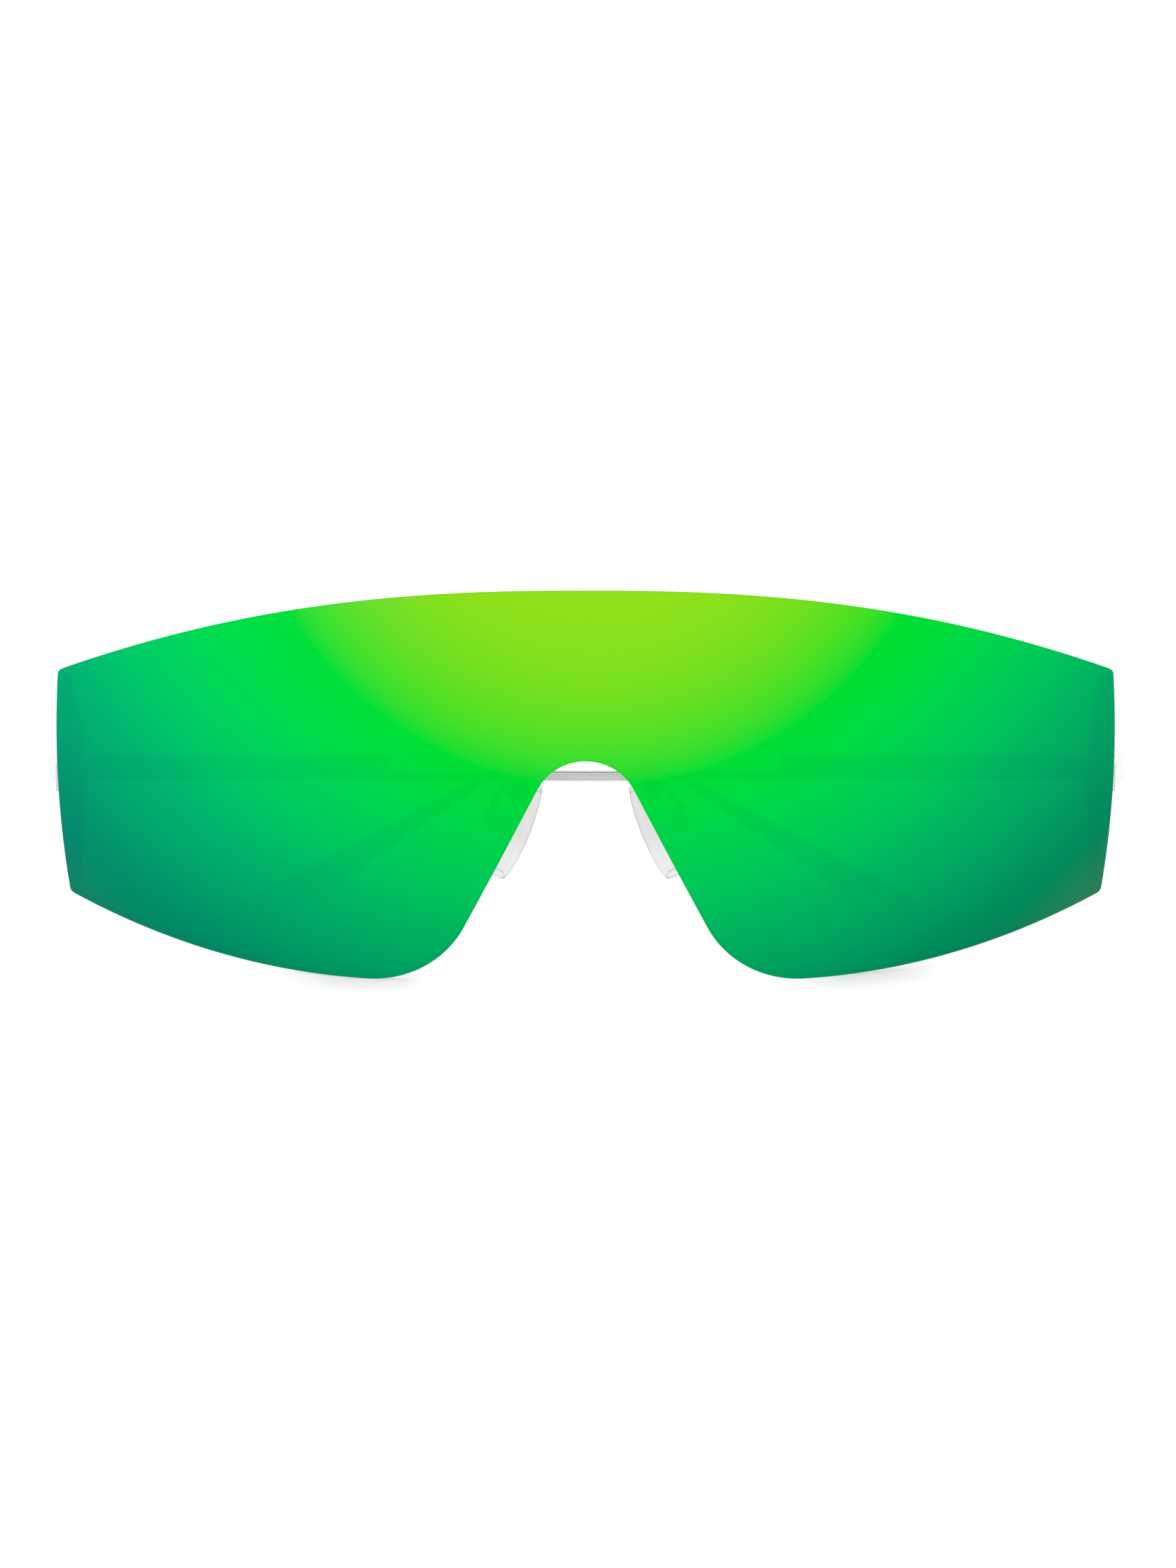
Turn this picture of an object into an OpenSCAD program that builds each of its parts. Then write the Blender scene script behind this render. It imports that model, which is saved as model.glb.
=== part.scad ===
// Shield sunglasses: one curved mirrored lens, a metal end piece down each side of it,
// folding temples and a pair of clear nose pads.
// The front faces -Y, +Z is up and X = 0 is the middle. The temples are drawn folded, and the
// glasses stand at Z = 0 on the two lobes of the lens and the two temple tips.
// Every side piece is written for the left (-X) side and mirrored for the right.

/* [Lens] */
// Width of the lens at its widest
lens_w = 148; // [138:1:158]
// Height of the lens from its lobes to the middle of its top edge
lens_h = 55; // [51:1:60]
// Thickness of the lens
lens_t = 1.8; // [1.4:0.1:2.4]
// Radius of the lens's front face
lens_r = 120; // [108:1:150]
// Height of the middle of the lens's curve above the lobes
curve_z = 26; // [22:1:30]
// Height of the lens's top corners
top_corner_z = 39.6; // [37:0.2:43]
// Height of the lens's bottom corners
low_corner_z = 8; // [5:0.5:11]
// Height at which the lens is widest
widest_z = 30; // [26:1:34]
// How far the bottom corners stand in from the widest point
side_bow = 1.6; // [0.8:0.1:2.6]
// How the top edge falls: 2 is a parabola, and more is flatter in the middle
top_edge_power = 2.3; // [2:0.1:2.8]
// Length of the rounding at each corner
corner_soft = 0.6; // [0.3:0.1:1.2]

/* [Nose notch] */
// Height of the top of the notch
notch_top_z = 32; // [29:0.5:35]
// Radius of the top of the notch
notch_r = 7.4; // [6.2:0.2:8.6]
// Distance of each lobe's lowest point from the middle
lobe_x = 30.2; // [28:0.2:33]
// Radius of each lobe beside the notch
lobe_r = 15.2; // [12:0.2:17]

/* [End pieces] */
// Width of the metal strip at the hinge
strip_w = 3.7; // [3:0.1:5]
// Width of the strip at its ends
strip_end_w = 1.7; // [1:0.1:2.6]
// Thickness of the strip
strip_t = 0.9; // [0.6:0.1:1.4]
// How far the strip stays inside the lens's side edge
strip_inset = 0.35; // [0.2:0.05:0.8]
// How far each end of the strip stops short of the lens's corner
strip_end_gap = 0.9; // [0.5:0.1:2]
// How far the strip keeps its full width above the temple's lower edge
strip_full_up = 10; // [7:0.5:12]
// Thickness of the bond film under the strip
bond_t = 0.15; // [0.1:0.05:0.3]

/* [Hinges] */
// Distance of the hinge pin behind the side edge of the lens
hinge_set = 10.4; // [9.4:0.2:13]
// Distance of the hinge pin in from the lens's widest
hinge_in = 2.1; // [1.6:0.1:3]
// Radius of the hinge barrels
barrel_r = 1.4; // [1.2:0.1:1.8]
// Radius of the hinge screw's shank
screw_r = 0.6; // [0.45:0.05:0.8]
// Radius of the hinge screw's head
screw_head_r = 1.05; // [0.95:0.05:1.2]
// Height of the hinge screw's head
screw_head_h = 0.45; // [0.3:0.05:0.7]
// Width and depth of the slot in the screw's head
screw_slot = 0.25; // [0.15:0.05:0.3]
// Height of the temple's knuckle
middle_knuckle_h = 1.1; // [0.9:0.1:1.4]
// Thickness of each hinge washer
washer_t = 0.2; // [0.1:0.05:0.25]
// Distance of the end piece's stop face in front of the hinge pin
stop_set = 4.35; // [3.6:0.05:5]
// Length of the leaf that holds the temple's knuckle to the bar
leaf_len = 5.5; // [4:0.5:8]
// Thickness of that leaf
leaf_t = 0.6; // [0.4:0.1:0.9]

/* [Temples] */
// Height of the temple's lower edge above the table
temple_z = 21.7; // [20:0.1:24]
// Height of the temple bar
bar_h = 3.9; // [3.4:0.1:4.6]
// Thickness of the temple bar
bar_t = 1; // [0.8:0.1:1.4]
// Length of the temple bar behind the hinge pin
bar_len = 44.4; // [36:1:52]
// Length of the collar at the end of the bar
collar_len = 2.5; // [2:0.1:4]
// Height of the collar
collar_h = 1.65; // [1.5:0.05:2.2]
// Height of the temple core
core_h = 1.05; // [0.9:0.05:1.2]
// Thickness of the temple core
core_t = 0.8; // [0.6:0.1:0.9]
// Distance from the hinge pin to the bend behind the ear
bend_at = 85.5; // [78:0.5:96]
// How far off parallel each folded temple lies, so that the two pass
fold_tilt = 0.6; // [0.6:0.1:2]

/* [Temple tips] */
// Height of the tip where it starts
tip_start_w = 1.6; // [1.5:0.1:2.2]
// Height of the tip at its slanted end
tip_w = 5.6; // [4:0.1:7]
// Thickness of the tip
tip_t = 1.5; // [1.3:0.1:1.7]
// How steeply the tip drops behind the bend
tip_angle = 32; // [26:1:45]
// Angle between the tip's slanted end and its length
tip_cut_angle = 64; // [55:1:90]
// How the tip widens: 1 is straight, and more widens late
tip_power = 1.2; // [1:0.1:1.6]
// How far the tip reaches over the core in front of the bend
tip_lead = 3.5; // [2:0.5:6]
// How far the core reaches into the tip behind the bend
core_in_tip = 19; // [8:1:26]

/* [Nose pads] */
// Length of the pad
pad_l = 14.5; // [12:0.5:17]
// Width of the pad
pad_w = 7.5; // [6:0.1:9]
// Thickness of the pad at its crown
pad_t = 2.6; // [2.3:0.1:3.2]
// Radius of the pad's crowned face
pad_crown_r = 50; // [30:1:80]
// Lean of the pad's length from upright
pad_lean = 23.5; // [15:0.5:28]
// Turn of the pad's back edge away from the nose
pad_splay = 8; // [3:1:20]
// Depth of the pad's middle below the top of the notch
pad_drop = 11.7; // [10.5:0.1:13.5]
// Distance of the middle of the pad's back outside the notch's edge
pad_outset = 0.2; // [0:0.1:0.8]
// Distance of the pad's middle behind the lens
pad_set = 9.6; // [8:0.2:12]
// How far the insert's plate stays inside the pad's outline
insert_margin = 0.75; // [0.6:0.05:2]
// Thickness of the insert's plate
insert_t = 1.2; // [0.6:0.1:1.3]
// Thickness of pad behind the insert's plate
insert_depth = 0.35; // [0.2:0.05:0.5]
// Radius of the tongue's end round the pad screw
tongue_r = 0.8; // [0.75:0.05:0.9]
// Thickness of the tongue
tongue_t = 1.2; // [0.9:0.1:1.6]

/* [Pad arms] */
// Diameter of the pad arm's wire
arm_d = 1.3; // [1:0.05:1.4]
// Width of the pad mount
mount_w = 3.2; // [2.6:0.1:3.8]
// Thickness of the pad mount
mount_t = 0.8; // [0.6:0.1:1.2]
// Gap between the pad mount and the notch's edge
mount_gap = 0.6; // [0.3:0.1:1]
// Angle of the pad mount round the top of the notch, up from level
mount_angle = 18; // [8:1:26]
// How far the arm's first curve reaches up from the mount
loop_up = 5.2; // [4:0.1:6]
// How far that curve reaches back from the mount
loop_back = 2.8; // [1.8:0.1:3.4]
// How far that curve reaches in towards the middle
loop_in = 3.2; // [2:0.1:4]
// How far the arm's last curve reaches up from the pad box
loop_end = 7; // [6:0.5:8]
// Distance of the pad screw behind the pad
box_set = 1.5; // [1.4:0.1:2.4]
// Distance of the pad screw above the pad's middle
box_up = 0.4; // [0:0.1:2]
// Length of the pad box along the pad
box_l = 2.6; // [2.4:0.1:3.4]
// Thickness of each ear of the pad box
ear_t = 0.5; // [0.4:0.05:0.8]
// Radius of the pad screw's shank
pad_screw_r = 0.4; // [0.3:0.05:0.5]
// Radius of the pad screw's head
pad_screw_head_r = 0.75; // [0.65:0.05:0.9]
// Height of the pad screw's head
pad_screw_head_h = 0.35; // [0.25:0.05:0.5]

/* [Fits] */
// Gap between pieces that are fixed together
fixed_gap = 0.02; // [0.01:0.01:0.04]
// Radial gap round a pin that turns
running_gap = 0.05; // [0.02:0.01:0.08]
// Gap between the temple and the end piece's barrels and stop face
swing_gap = 0.15; // [0.1:0.05:0.25]

/* [Hidden] */
SIDES = ["left", "right"];
SIDE_PARTS = [
    "end_piece", "bond_film", "hinge_screw", "hinge_washers",
    "temple_hinge", "temple_bar", "temple_collar", "temple_core", "temple_tip",
    "pad_mount", "pad_arm", "pad_box", "pad_screw", "pad_insert", "nose_pad"
];

// Fineness of the big spheres, of small round parts and of drawn curves
ball_fn = 240;
round_fn = 64;
curve_steps = 12;
edge_steps = 28;
// Overrun of every cut past the face that it opens
cut_over = 1;
// Sides and rings of the pad arm's wire
wire_sides = 10;
wire_rings = 22;
// How deep the brazed ends of the pad arm sink into what they are brazed to
braze_sink = 0.25;

steel = "silver";
bright_steel = "gainsboro";
nylon = "whitesmoke";
film_clear = [0.85, 0.9, 0.88, 0.6];
silicone = [0.88, 0.9, 0.9, 0.7];
mirror_green = [0.05, 0.75, 0.3, 0.85];

// Places that several pieces share, in the front view: [x, z]
half_w = lens_w / 2;
notch_centre = [0, notch_top_z - notch_r];
lobe_centre = [lobe_x, lobe_r];
notch_to_lobe = lobe_centre - notch_centre;
flank_angle = atan2(notch_to_lobe[1], notch_to_lobe[0])
    - asin((notch_r + lobe_r) / norm(notch_to_lobe));
flank_normal = [cos(flank_angle + 90), sin(flank_angle + 90)];
flank_top = notch_centre + notch_r * flank_normal;
low_corner = [half_w - side_bow, low_corner_z];
top_corner = [side_x(top_corner_z), top_corner_z];

// Depths: the object's front and back, once folded, lie as far from Y = 0
hinge_x = half_w - hinge_in;
bar_inner = barrel_r + swing_gap;
bar_top_z = temple_z + bar_h;
hinge_z = temple_z + bar_h / 2;
side_depth = shell_depth(lens_r, hinge_x, hinge_z);
tip_back = bar_inner + (bar_t + tip_t) / 2 + bend_at * sin(fold_tilt);
front_y = -(side_depth + hinge_set + tip_back) / 2;
ball_y = front_y + lens_r;
hinge_y = front_y + side_depth + hinge_set;
stop_y = hinge_y - stop_set;
bar_over = stop_set - running_gap;
lens_back_r = lens_r - lens_t;
strip_front_r = lens_back_r - bond_t - fixed_gap;

// Half the lens's width at a height
function side_x(z) = half_w - side_bow * pow((z - widest_z) / (widest_z - low_corner_z), 2);

// Distance of a sphere's face behind its own front point, at a place in the front view
function shell_depth(r, x, z) = r - sqrt(r * r - x * x - (z - curve_z) * (z - curve_z));

// Y of a concentric face of radius r at a place in the front view
function face_y(r, x, z) = ball_y - sqrt(r * r - x * x - (z - curve_z) * (z - curve_z));

// A curve from a to c that leaves and arrives along the lines to b
function curve(a, b, c, n) =
    [for (i = [0 : n]) let (t = i / n) (1 - t) * (1 - t) * a + 2 * t * (1 - t) * b + t * t * c];

// Points on a circle, in the front view
function arc(centre, r, from, to, n) =
    [for (i = [0 : n]) let (a = from + (to - from) * i / n) centre + r * [cos(a), sin(a)]];

// The right half of the lens's outline, from the top of the notch round to the top edge
function lower_edge(x) =
    [x, low_corner_z * pow((x - lobe_x) / (low_corner[0] - lobe_x), 2)];
function upper_edge(x) =
    [x, lens_h - (lens_h - top_corner_z) * pow(x / top_corner[0], top_edge_power)];
function side_edge(z) = [side_x(z), z];
function half_outline() = concat(
    arc(notch_centre, notch_r, 90, flank_angle + 90, curve_steps),
    arc(lobe_centre, lobe_r, flank_angle + 270, 270, curve_steps),
    [for (i = [1 : curve_steps])
        lower_edge(lobe_x + (low_corner[0] - corner_soft - lobe_x) * i / curve_steps)],
    curve(lower_edge(low_corner[0] - corner_soft), low_corner,
        side_edge(low_corner_z + corner_soft), 4),
    [for (i = [1 : curve_steps - 1])
        side_edge(low_corner_z + corner_soft
            + (top_corner_z - low_corner_z - 2 * corner_soft) * i / curve_steps)],
    curve(side_edge(top_corner_z - corner_soft), top_corner,
        upper_edge(top_corner[0] - corner_soft), 4),
    [for (i = [edge_steps - 1 : -1 : 1])
        upper_edge((top_corner[0] - corner_soft) * i / edge_steps)]
);
function mirrored(points) = [for (p = points) [-p[0], p[1]]];
function backwards(points) = [for (i = [len(points) - 1 : -1 : 0]) points[i]];
function lens_outline() =
    let (half = half_outline(), inner = [for (i = [1 : len(half) - 1]) half[i]])
    concat(half, [[0, lens_h]], backwards(mirrored(inner)));

// The strip's outline on the left, drawn in by inset all round
function strip_outline(inset) =
    let (
        top = top_corner_z - strip_end_gap - inset,
        low = low_corner_z + strip_end_gap + inset,
        outer = [for (i = [0 : curve_steps])
            let (z = low + (top - low) * i / curve_steps)
            [strip_inset + inset - side_x(z), z]]
    )
    concat(outer, [
        [strip_end_w - inset - side_x(top), top],
        [strip_w - inset - side_x(temple_z + strip_full_up), temple_z + strip_full_up],
        [strip_w - inset - side_x(temple_z), temple_z],
        [strip_end_w - inset - side_x(low), low]
    ]);

// A shape drawn in the front view, run through the whole depth
module front_prism(points) {
    translate([0, ball_y, 0]) rotate([90, 0, 0])
        linear_extrude(height = ball_y - front_y + cut_over) polygon(points);
}

// A ball about the lens's own centre
module ball(r) {
    translate([0, ball_y, curve_z]) sphere(r = r, $fn = ball_fn);
}

// A sheet of the lens's curve between two radii, cut to a front view outline
module curved_sheet(outer_r, inner_r, points) {
    difference() {
        intersection() {
            ball(outer_r);
            front_prism(points);
        }
        ball(inner_r);
    }
}

module round_bar(r, h, fn = round_fn) {
    cylinder(r = r, h = h, $fn = fn);
}

module lens() {
    color(mirror_green) curved_sheet(lens_r, lens_back_r, lens_outline());
}

module bond_film() {
    color(film_clear)
        curved_sheet(lens_back_r, strip_front_r + fixed_gap, strip_outline(strip_inset / 2));
}

// A knuckle of the end piece, with the tab that holds it to the block
module front_knuckle(z, h) {
    translate([-hinge_x, hinge_y, z]) round_bar(barrel_r, h);
    translate([-hinge_x - barrel_r, stop_y - cut_over, z])
        cube([2 * barrel_r, stop_set + cut_over, h]);
}

knuckle_play = washer_t + 2 * fixed_gap;
front_knuckle_h = (bar_h - middle_knuckle_h) / 2 - knuckle_play;

module end_piece() {
    color(steel) difference() {
        union() {
            curved_sheet(strip_front_r, strip_front_r - strip_t, strip_outline(0));
            intersection() {
                ball(strip_front_r - strip_t / 2);
                translate([-hinge_x - bar_inner - bar_t, front_y, temple_z])
                    cube([bar_inner + bar_t + barrel_r, stop_y - front_y, bar_h]);
            }
            front_knuckle(temple_z, front_knuckle_h);
            front_knuckle(bar_top_z - front_knuckle_h, front_knuckle_h);
        }
        translate([-hinge_x, hinge_y, temple_z - cut_over])
            round_bar(screw_r + fixed_gap, bar_h + 2 * cut_over);
    }
}

module hinge_screw() {
    slot_len = 2 * (screw_head_r + cut_over);
    color(bright_steel) translate([-hinge_x, hinge_y, temple_z]) difference() {
        union() {
            round_bar(screw_r, bar_h + fixed_gap);
            translate([0, 0, bar_h + fixed_gap]) round_bar(screw_head_r, screw_head_h);
        }
        translate([-slot_len / 2, -screw_slot / 2, bar_h + screw_head_h - screw_slot])
            cube([slot_len, screw_slot, screw_slot + cut_over]);
    }
}

module hinge_washers() {
    low = temple_z + front_knuckle_h + fixed_gap;
    color(nylon) for (z = [low, bar_top_z - front_knuckle_h - fixed_gap - washer_t])
        translate([-hinge_x, hinge_y, z]) difference() {
            round_bar(barrel_r, washer_t);
            translate([0, 0, -cut_over]) round_bar(screw_r + running_gap, washer_t + 2 * cut_over);
        }
}

// The temple is drawn from its hinge pin: X runs along the folded temple, Y points back
module place_temple() {
    translate([-hinge_x, hinge_y, 0]) rotate([0, 0, -fold_tilt]) children();
}

// A flat shape drawn in the temple's X and Z, centred on the temple's thickness
module temple_sheet(points, t) {
    translate([0, bar_inner + (bar_t + t) / 2, 0]) rotate([90, 0, 0])
        linear_extrude(height = t) polygon(points);
}

module temple_hinge() {
    z = hinge_z - middle_knuckle_h / 2;
    leaf_start = barrel_r + 2 * swing_gap;
    color(steel) difference() {
        union() {
            translate([0, 0, z]) round_bar(barrel_r, middle_knuckle_h);
            translate([-barrel_r, 0, z]) cube([2 * barrel_r, bar_inner, middle_knuckle_h]);
            translate([0, bar_inner - leaf_t, z])
                cube([leaf_start + leaf_t, leaf_t, middle_knuckle_h]);
            translate([leaf_start, bar_inner - leaf_t, temple_z + swing_gap])
                cube([leaf_len, leaf_t, bar_h - 2 * swing_gap]);
        }
        translate([0, 0, z - cut_over])
            round_bar(screw_r + running_gap, middle_knuckle_h + 2 * cut_over);
    }
}

module temple_bar() {
    color(steel) temple_sheet([
        [-bar_over, temple_z], [bar_len, temple_z],
        [bar_len, bar_top_z], [-bar_over, bar_top_z]
    ], bar_t);
}

core_low_z = temple_z + (collar_h - core_h) / 4;
core_mid_z = core_low_z + core_h / 2;

module temple_collar() {
    passage = core_h + 2 * fixed_gap;
    color(bright_steel) difference() {
        temple_sheet([
            [bar_len, temple_z], [bar_len + collar_len, temple_z],
            [bar_len + collar_len, temple_z + collar_h], [bar_len, temple_z + collar_h]
        ], bar_t + 2 * swing_gap);
        temple_sheet([
            [bar_len - cut_over, core_low_z - fixed_gap],
            [bar_len + collar_len + cut_over, core_low_z - fixed_gap],
            [bar_len + collar_len + cut_over, core_low_z - fixed_gap + passage],
            [bar_len - cut_over, core_low_z - fixed_gap + passage]
        ], core_t + 2 * fixed_gap);
    }
}

// The core's outline, grown by a gap: level to the bend, then down at the tip's angle
function core_outline(gap, start, past) =
    let (
        half = core_h / 2 + gap,
        across = [sin(tip_angle), cos(tip_angle)],
        along = [cos(tip_angle), -sin(tip_angle)],
        bend = [bend_at, core_mid_z],
        miter = half * tan(tip_angle / 2),
        end = bend + (core_in_tip + past) * along
    )
    [
        [start, core_mid_z - half], [bend_at - miter, core_mid_z - half],
        end - half * across, end + half * across,
        [bend_at + miter, core_mid_z + half], [start, core_mid_z + half]
    ];

module temple_core() {
    color(steel) temple_sheet(core_outline(0, bar_len, 0), core_t);
}

// The tip's length behind the bend is what brings its lowest corner down to the table
tip_slant = tip_w / 2 / tan(tip_cut_angle);
tip_soft_rise = corner_soft * sin(tip_angle) / 2;
tip_len = (core_mid_z - tip_w / 2 * cos(tip_angle) + tip_soft_rise) / sin(tip_angle) + tip_slant;

function tip_half(u) = (tip_start_w + (tip_w - tip_start_w) * pow(u, tip_power)) / 2;
function tip_outline() =
    let (
        across = [sin(tip_angle), cos(tip_angle)],
        along = [cos(tip_angle), -sin(tip_angle)],
        bend = [bend_at, core_mid_z],
        start_half = tip_start_w / 2,
        miter = start_half * tan(tip_angle / 2),
        end = bend + tip_len * along,
        top_end = end + tip_w / 2 * across + tip_slant * along,
        low_end = end - tip_w / 2 * across - tip_slant * along,
        cut = (top_end - low_end) / norm(top_end - low_end),
        top_run = [for (i = [1 : curve_steps - 1]) let (u = i / curve_steps)
            bend + u * tip_len * along + tip_half(u) * across],
        low_run = [for (i = [1 : curve_steps - 1]) let (u = i / curve_steps)
            bend + u * (tip_len - tip_slant) * along - tip_half(u) * across]
    )
    concat(
        [[bend_at - tip_lead, core_mid_z - start_half], [bend_at - miter, core_mid_z - start_half]],
        low_run,
        curve(low_end - corner_soft * along, low_end, low_end + corner_soft * cut, 4),
        curve(top_end - corner_soft * cut, top_end, top_end - corner_soft * along, 4),
        backwards(top_run),
        [[bend_at + miter, core_mid_z + start_half], [bend_at - tip_lead, core_mid_z + start_half]]
    );

module temple_tip() {
    color(bright_steel) difference() {
        temple_sheet(tip_outline(), tip_t);
        temple_sheet(core_outline(fixed_gap, bend_at - tip_lead - cut_over, fixed_gap),
            core_t + 2 * fixed_gap);
    }
}

// The pad mount sits beside the top of the notch, on the lens's back
mount_centre = notch_centre
    + (notch_r + mount_gap + mount_w / 2) * [cos(mount_angle), sin(mount_angle)];
mount_back_r = lens_back_r - fixed_gap - mount_t;
mount_back = [
    -mount_centre[0],
    face_y(mount_back_r, mount_centre[0], mount_centre[1]),
    mount_centre[1]
];

module pad_mount() {
    color(steel) difference() {
        intersection() {
            ball(lens_back_r - fixed_gap);
            translate([-mount_centre[0], 0, mount_centre[1]]) rotate([90, 0, 0])
                round_bar(mount_w / 2, cut_over - front_y);
        }
        ball(mount_back_r);
    }
}

// The pad's own frame: X is the way its face looks, Y runs back, Z runs up its length
pad_z = notch_top_z - pad_drop;
pad_x = flank_top[0] + (flank_top[1] - pad_z) / tan(-flank_angle) + pad_outset;
pad_centre = [-pad_x, face_y(lens_back_r, pad_x, pad_z) + pad_set, pad_z];
pad_facing = [cos(pad_splay) * cos(pad_lean), sin(pad_splay), -cos(pad_splay) * sin(pad_lean)];
pad_upward = [sin(pad_lean), 0, cos(pad_lean)];

module place_pad() {
    translate(pad_centre) rotate([0, pad_lean, 0]) rotate([0, 0, pad_splay]) children();
}

// The pad box: a fork on a floor block, with the pad screw through its ears
ear_gap = tongue_t / 2 + running_gap;
box_w = 2 * (ear_gap + ear_t);
floor_x = box_set + tongue_r + swing_gap;
ear_reach = floor_x - box_set + tongue_r;
arm_end = pad_centre - (floor_x + arm_d / 2) * pad_facing + (box_up + box_l / 2) * pad_upward;

module pad_box() {
    color(steel) place_pad() translate([-floor_x, 0, box_up]) difference() {
        union() {
            translate([-arm_d, -box_w / 2, -box_l / 2]) cube([arm_d, box_w, box_l]);
            for (y = [-box_w / 2, ear_gap])
                translate([-arm_d / 2, y, -box_l / 2]) cube([ear_reach + arm_d / 2, ear_t, box_l]);
        }
        translate([floor_x - box_set, box_w / 2 + cut_over, 0]) rotate([90, 0, 0])
            round_bar(pad_screw_r + fixed_gap, box_w + 2 * cut_over);
    }
}

module pad_screw() {
    color(bright_steel) place_pad() translate([-box_set, box_w / 2, box_up]) rotate([90, 0, 0]) {
        round_bar(pad_screw_r, box_w);
        translate([0, 0, -pad_screw_head_h]) round_bar(pad_screw_head_r, pad_screw_head_h);
    }
}

// The pad's outline, drawn in by inset: an oval, a little fuller at its lower end
pad_full_share = 0.16;
pad_points = 40;
function pad_outline(inset) = [for (i = [0 : pad_points - 1])
    let (a = 360 * i / pad_points)
    [(pad_w / 2 - inset) * cos(a) * (1 - pad_full_share * sin(a)), (pad_l / 2 - inset) * sin(a)]];

// A slab of the pad's outline, from one depth to another in front of the pad's back
module pad_slab(inset, from, to) {
    translate([from, 0, 0]) rotate([90, 0, 90])
        linear_extrude(height = to - from) polygon(pad_outline(inset));
}

// The insert's plate lies just inside the pad's back, with its tongue out of that back
module insert_plate(gap) {
    pad_slab(insert_margin - gap, insert_depth - gap, insert_depth + insert_t + gap);
}

module tongue(gap, past) {
    translate([-box_set, -tongue_t / 2 - gap, box_up - tongue_r - gap])
        cube([box_set + insert_depth + past, tongue_t + 2 * gap, 2 * (tongue_r + gap)]);
}

module pad_insert() {
    color(nylon) place_pad() difference() {
        union() {
            insert_plate(0);
            tongue(0, insert_t / 2);
            translate([-box_set, tongue_t / 2, box_up]) rotate([90, 0, 0])
                round_bar(tongue_r, tongue_t);
        }
        translate([-box_set, tongue_t / 2 + cut_over, box_up]) rotate([90, 0, 0])
            round_bar(pad_screw_r + running_gap, tongue_t + 2 * cut_over);
    }
}

module nose_pad() {
    color(silicone) place_pad() difference() {
        intersection() {
            pad_slab(0, 0, pad_t);
            translate([pad_t - pad_crown_r, 0, 0]) sphere(r = pad_crown_r, $fn = ball_fn);
        }
        insert_plate(fixed_gap);
        tongue(fixed_gap, insert_t / 2);
    }
}

// The pad arm's wire: a cubic curve from the mount, up and over, down to the pad box
arm_start = mount_back - [0, braze_sink, 0];
arm_pull = arm_start + [loop_in, loop_back, loop_up];
arm_finish = arm_end - braze_sink * pad_upward;
arm_drop = arm_end + loop_end * pad_upward;
function arm_point(t) =
    pow(1 - t, 3) * arm_start + 3 * t * pow(1 - t, 2) * arm_pull
    + 3 * t * t * (1 - t) * arm_drop + pow(t, 3) * arm_finish;
function arm_way(t) =
    (1 - t) * (1 - t) * (arm_pull - arm_start) + 2 * t * (1 - t) * (arm_drop - arm_pull)
    + t * t * (arm_finish - arm_drop);
function unit(v) = v / norm(v);

// A ring of the wire, square to its run
function wire_ring(t) =
    let (
        way = unit(arm_way(t)),
        out = unit(cross(way, [1, 0, 0])),
        side = cross(way, out)
    )
    [for (k = [0 : wire_sides - 1]) let (a = 360 * k / wire_sides)
        arm_point(t) + arm_d / 2 * (cos(a) * out + sin(a) * side)];

module pad_arm() {
    rings = [for (i = [0 : wire_rings]) wire_ring(i / wire_rings)];
    points = [for (ring = rings) each ring];
    walls = [for (i = [0 : wire_rings - 1]) for (k = [0 : wire_sides - 1])
        let (a = i * wire_sides + k, b = i * wire_sides + (k + 1) % wire_sides)
        each [[a, a + wire_sides, b + wire_sides], [a, b + wire_sides, b]]];
    first = [for (k = [0 : wire_sides - 1]) k];
    last = [for (k = [wire_sides - 1 : -1 : 0]) wire_rings * wire_sides + k];
    color(steel) polyhedron(points = points, faces = concat(walls, [first, last]), convexity = 4);
}

module side_part(name) {
    if (name == "end_piece") end_piece();
    if (name == "bond_film") bond_film();
    if (name == "hinge_screw") hinge_screw();
    if (name == "hinge_washers") hinge_washers();
    if (name == "pad_mount") pad_mount();
    if (name == "pad_arm") pad_arm();
    if (name == "pad_box") pad_box();
    if (name == "pad_screw") pad_screw();
    if (name == "pad_insert") pad_insert();
    if (name == "nose_pad") nose_pad();
}

module temple_part(name) {
    if (name == "temple_hinge") temple_hinge();
    if (name == "temple_bar") temple_bar();
    if (name == "temple_collar") temple_collar();
    if (name == "temple_core") temple_core();
    if (name == "temple_tip") temple_tip();
}

// The right temple is the left one mirrored, but both tilt the same way, so that they pass
module left_side(name) {
    side_part(name);
    place_temple() temple_part(name);
}

module right_side(name) {
    mirror([1, 0, 0]) side_part(name);
    translate([hinge_x, hinge_y, 0]) rotate([0, 0, -fold_tilt])
        mirror([1, 0, 0]) temple_part(name);
}

lens();
for (p = SIDE_PARTS) {
    left_side(p);
    right_side(p);
}
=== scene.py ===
"""Shield sunglasses, folded and standing on the two lobes of the lens and the two temple tips.

All sizes below are in millimetres, in the frame of the CAD model: the front faces -Y, +Z is up,
and X = 0 is the middle. Side pieces are drawn for the left (-X) and mirrored for the right.
"""

import math

import bmesh
import bpy
from mathutils import Matrix, Vector


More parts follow.
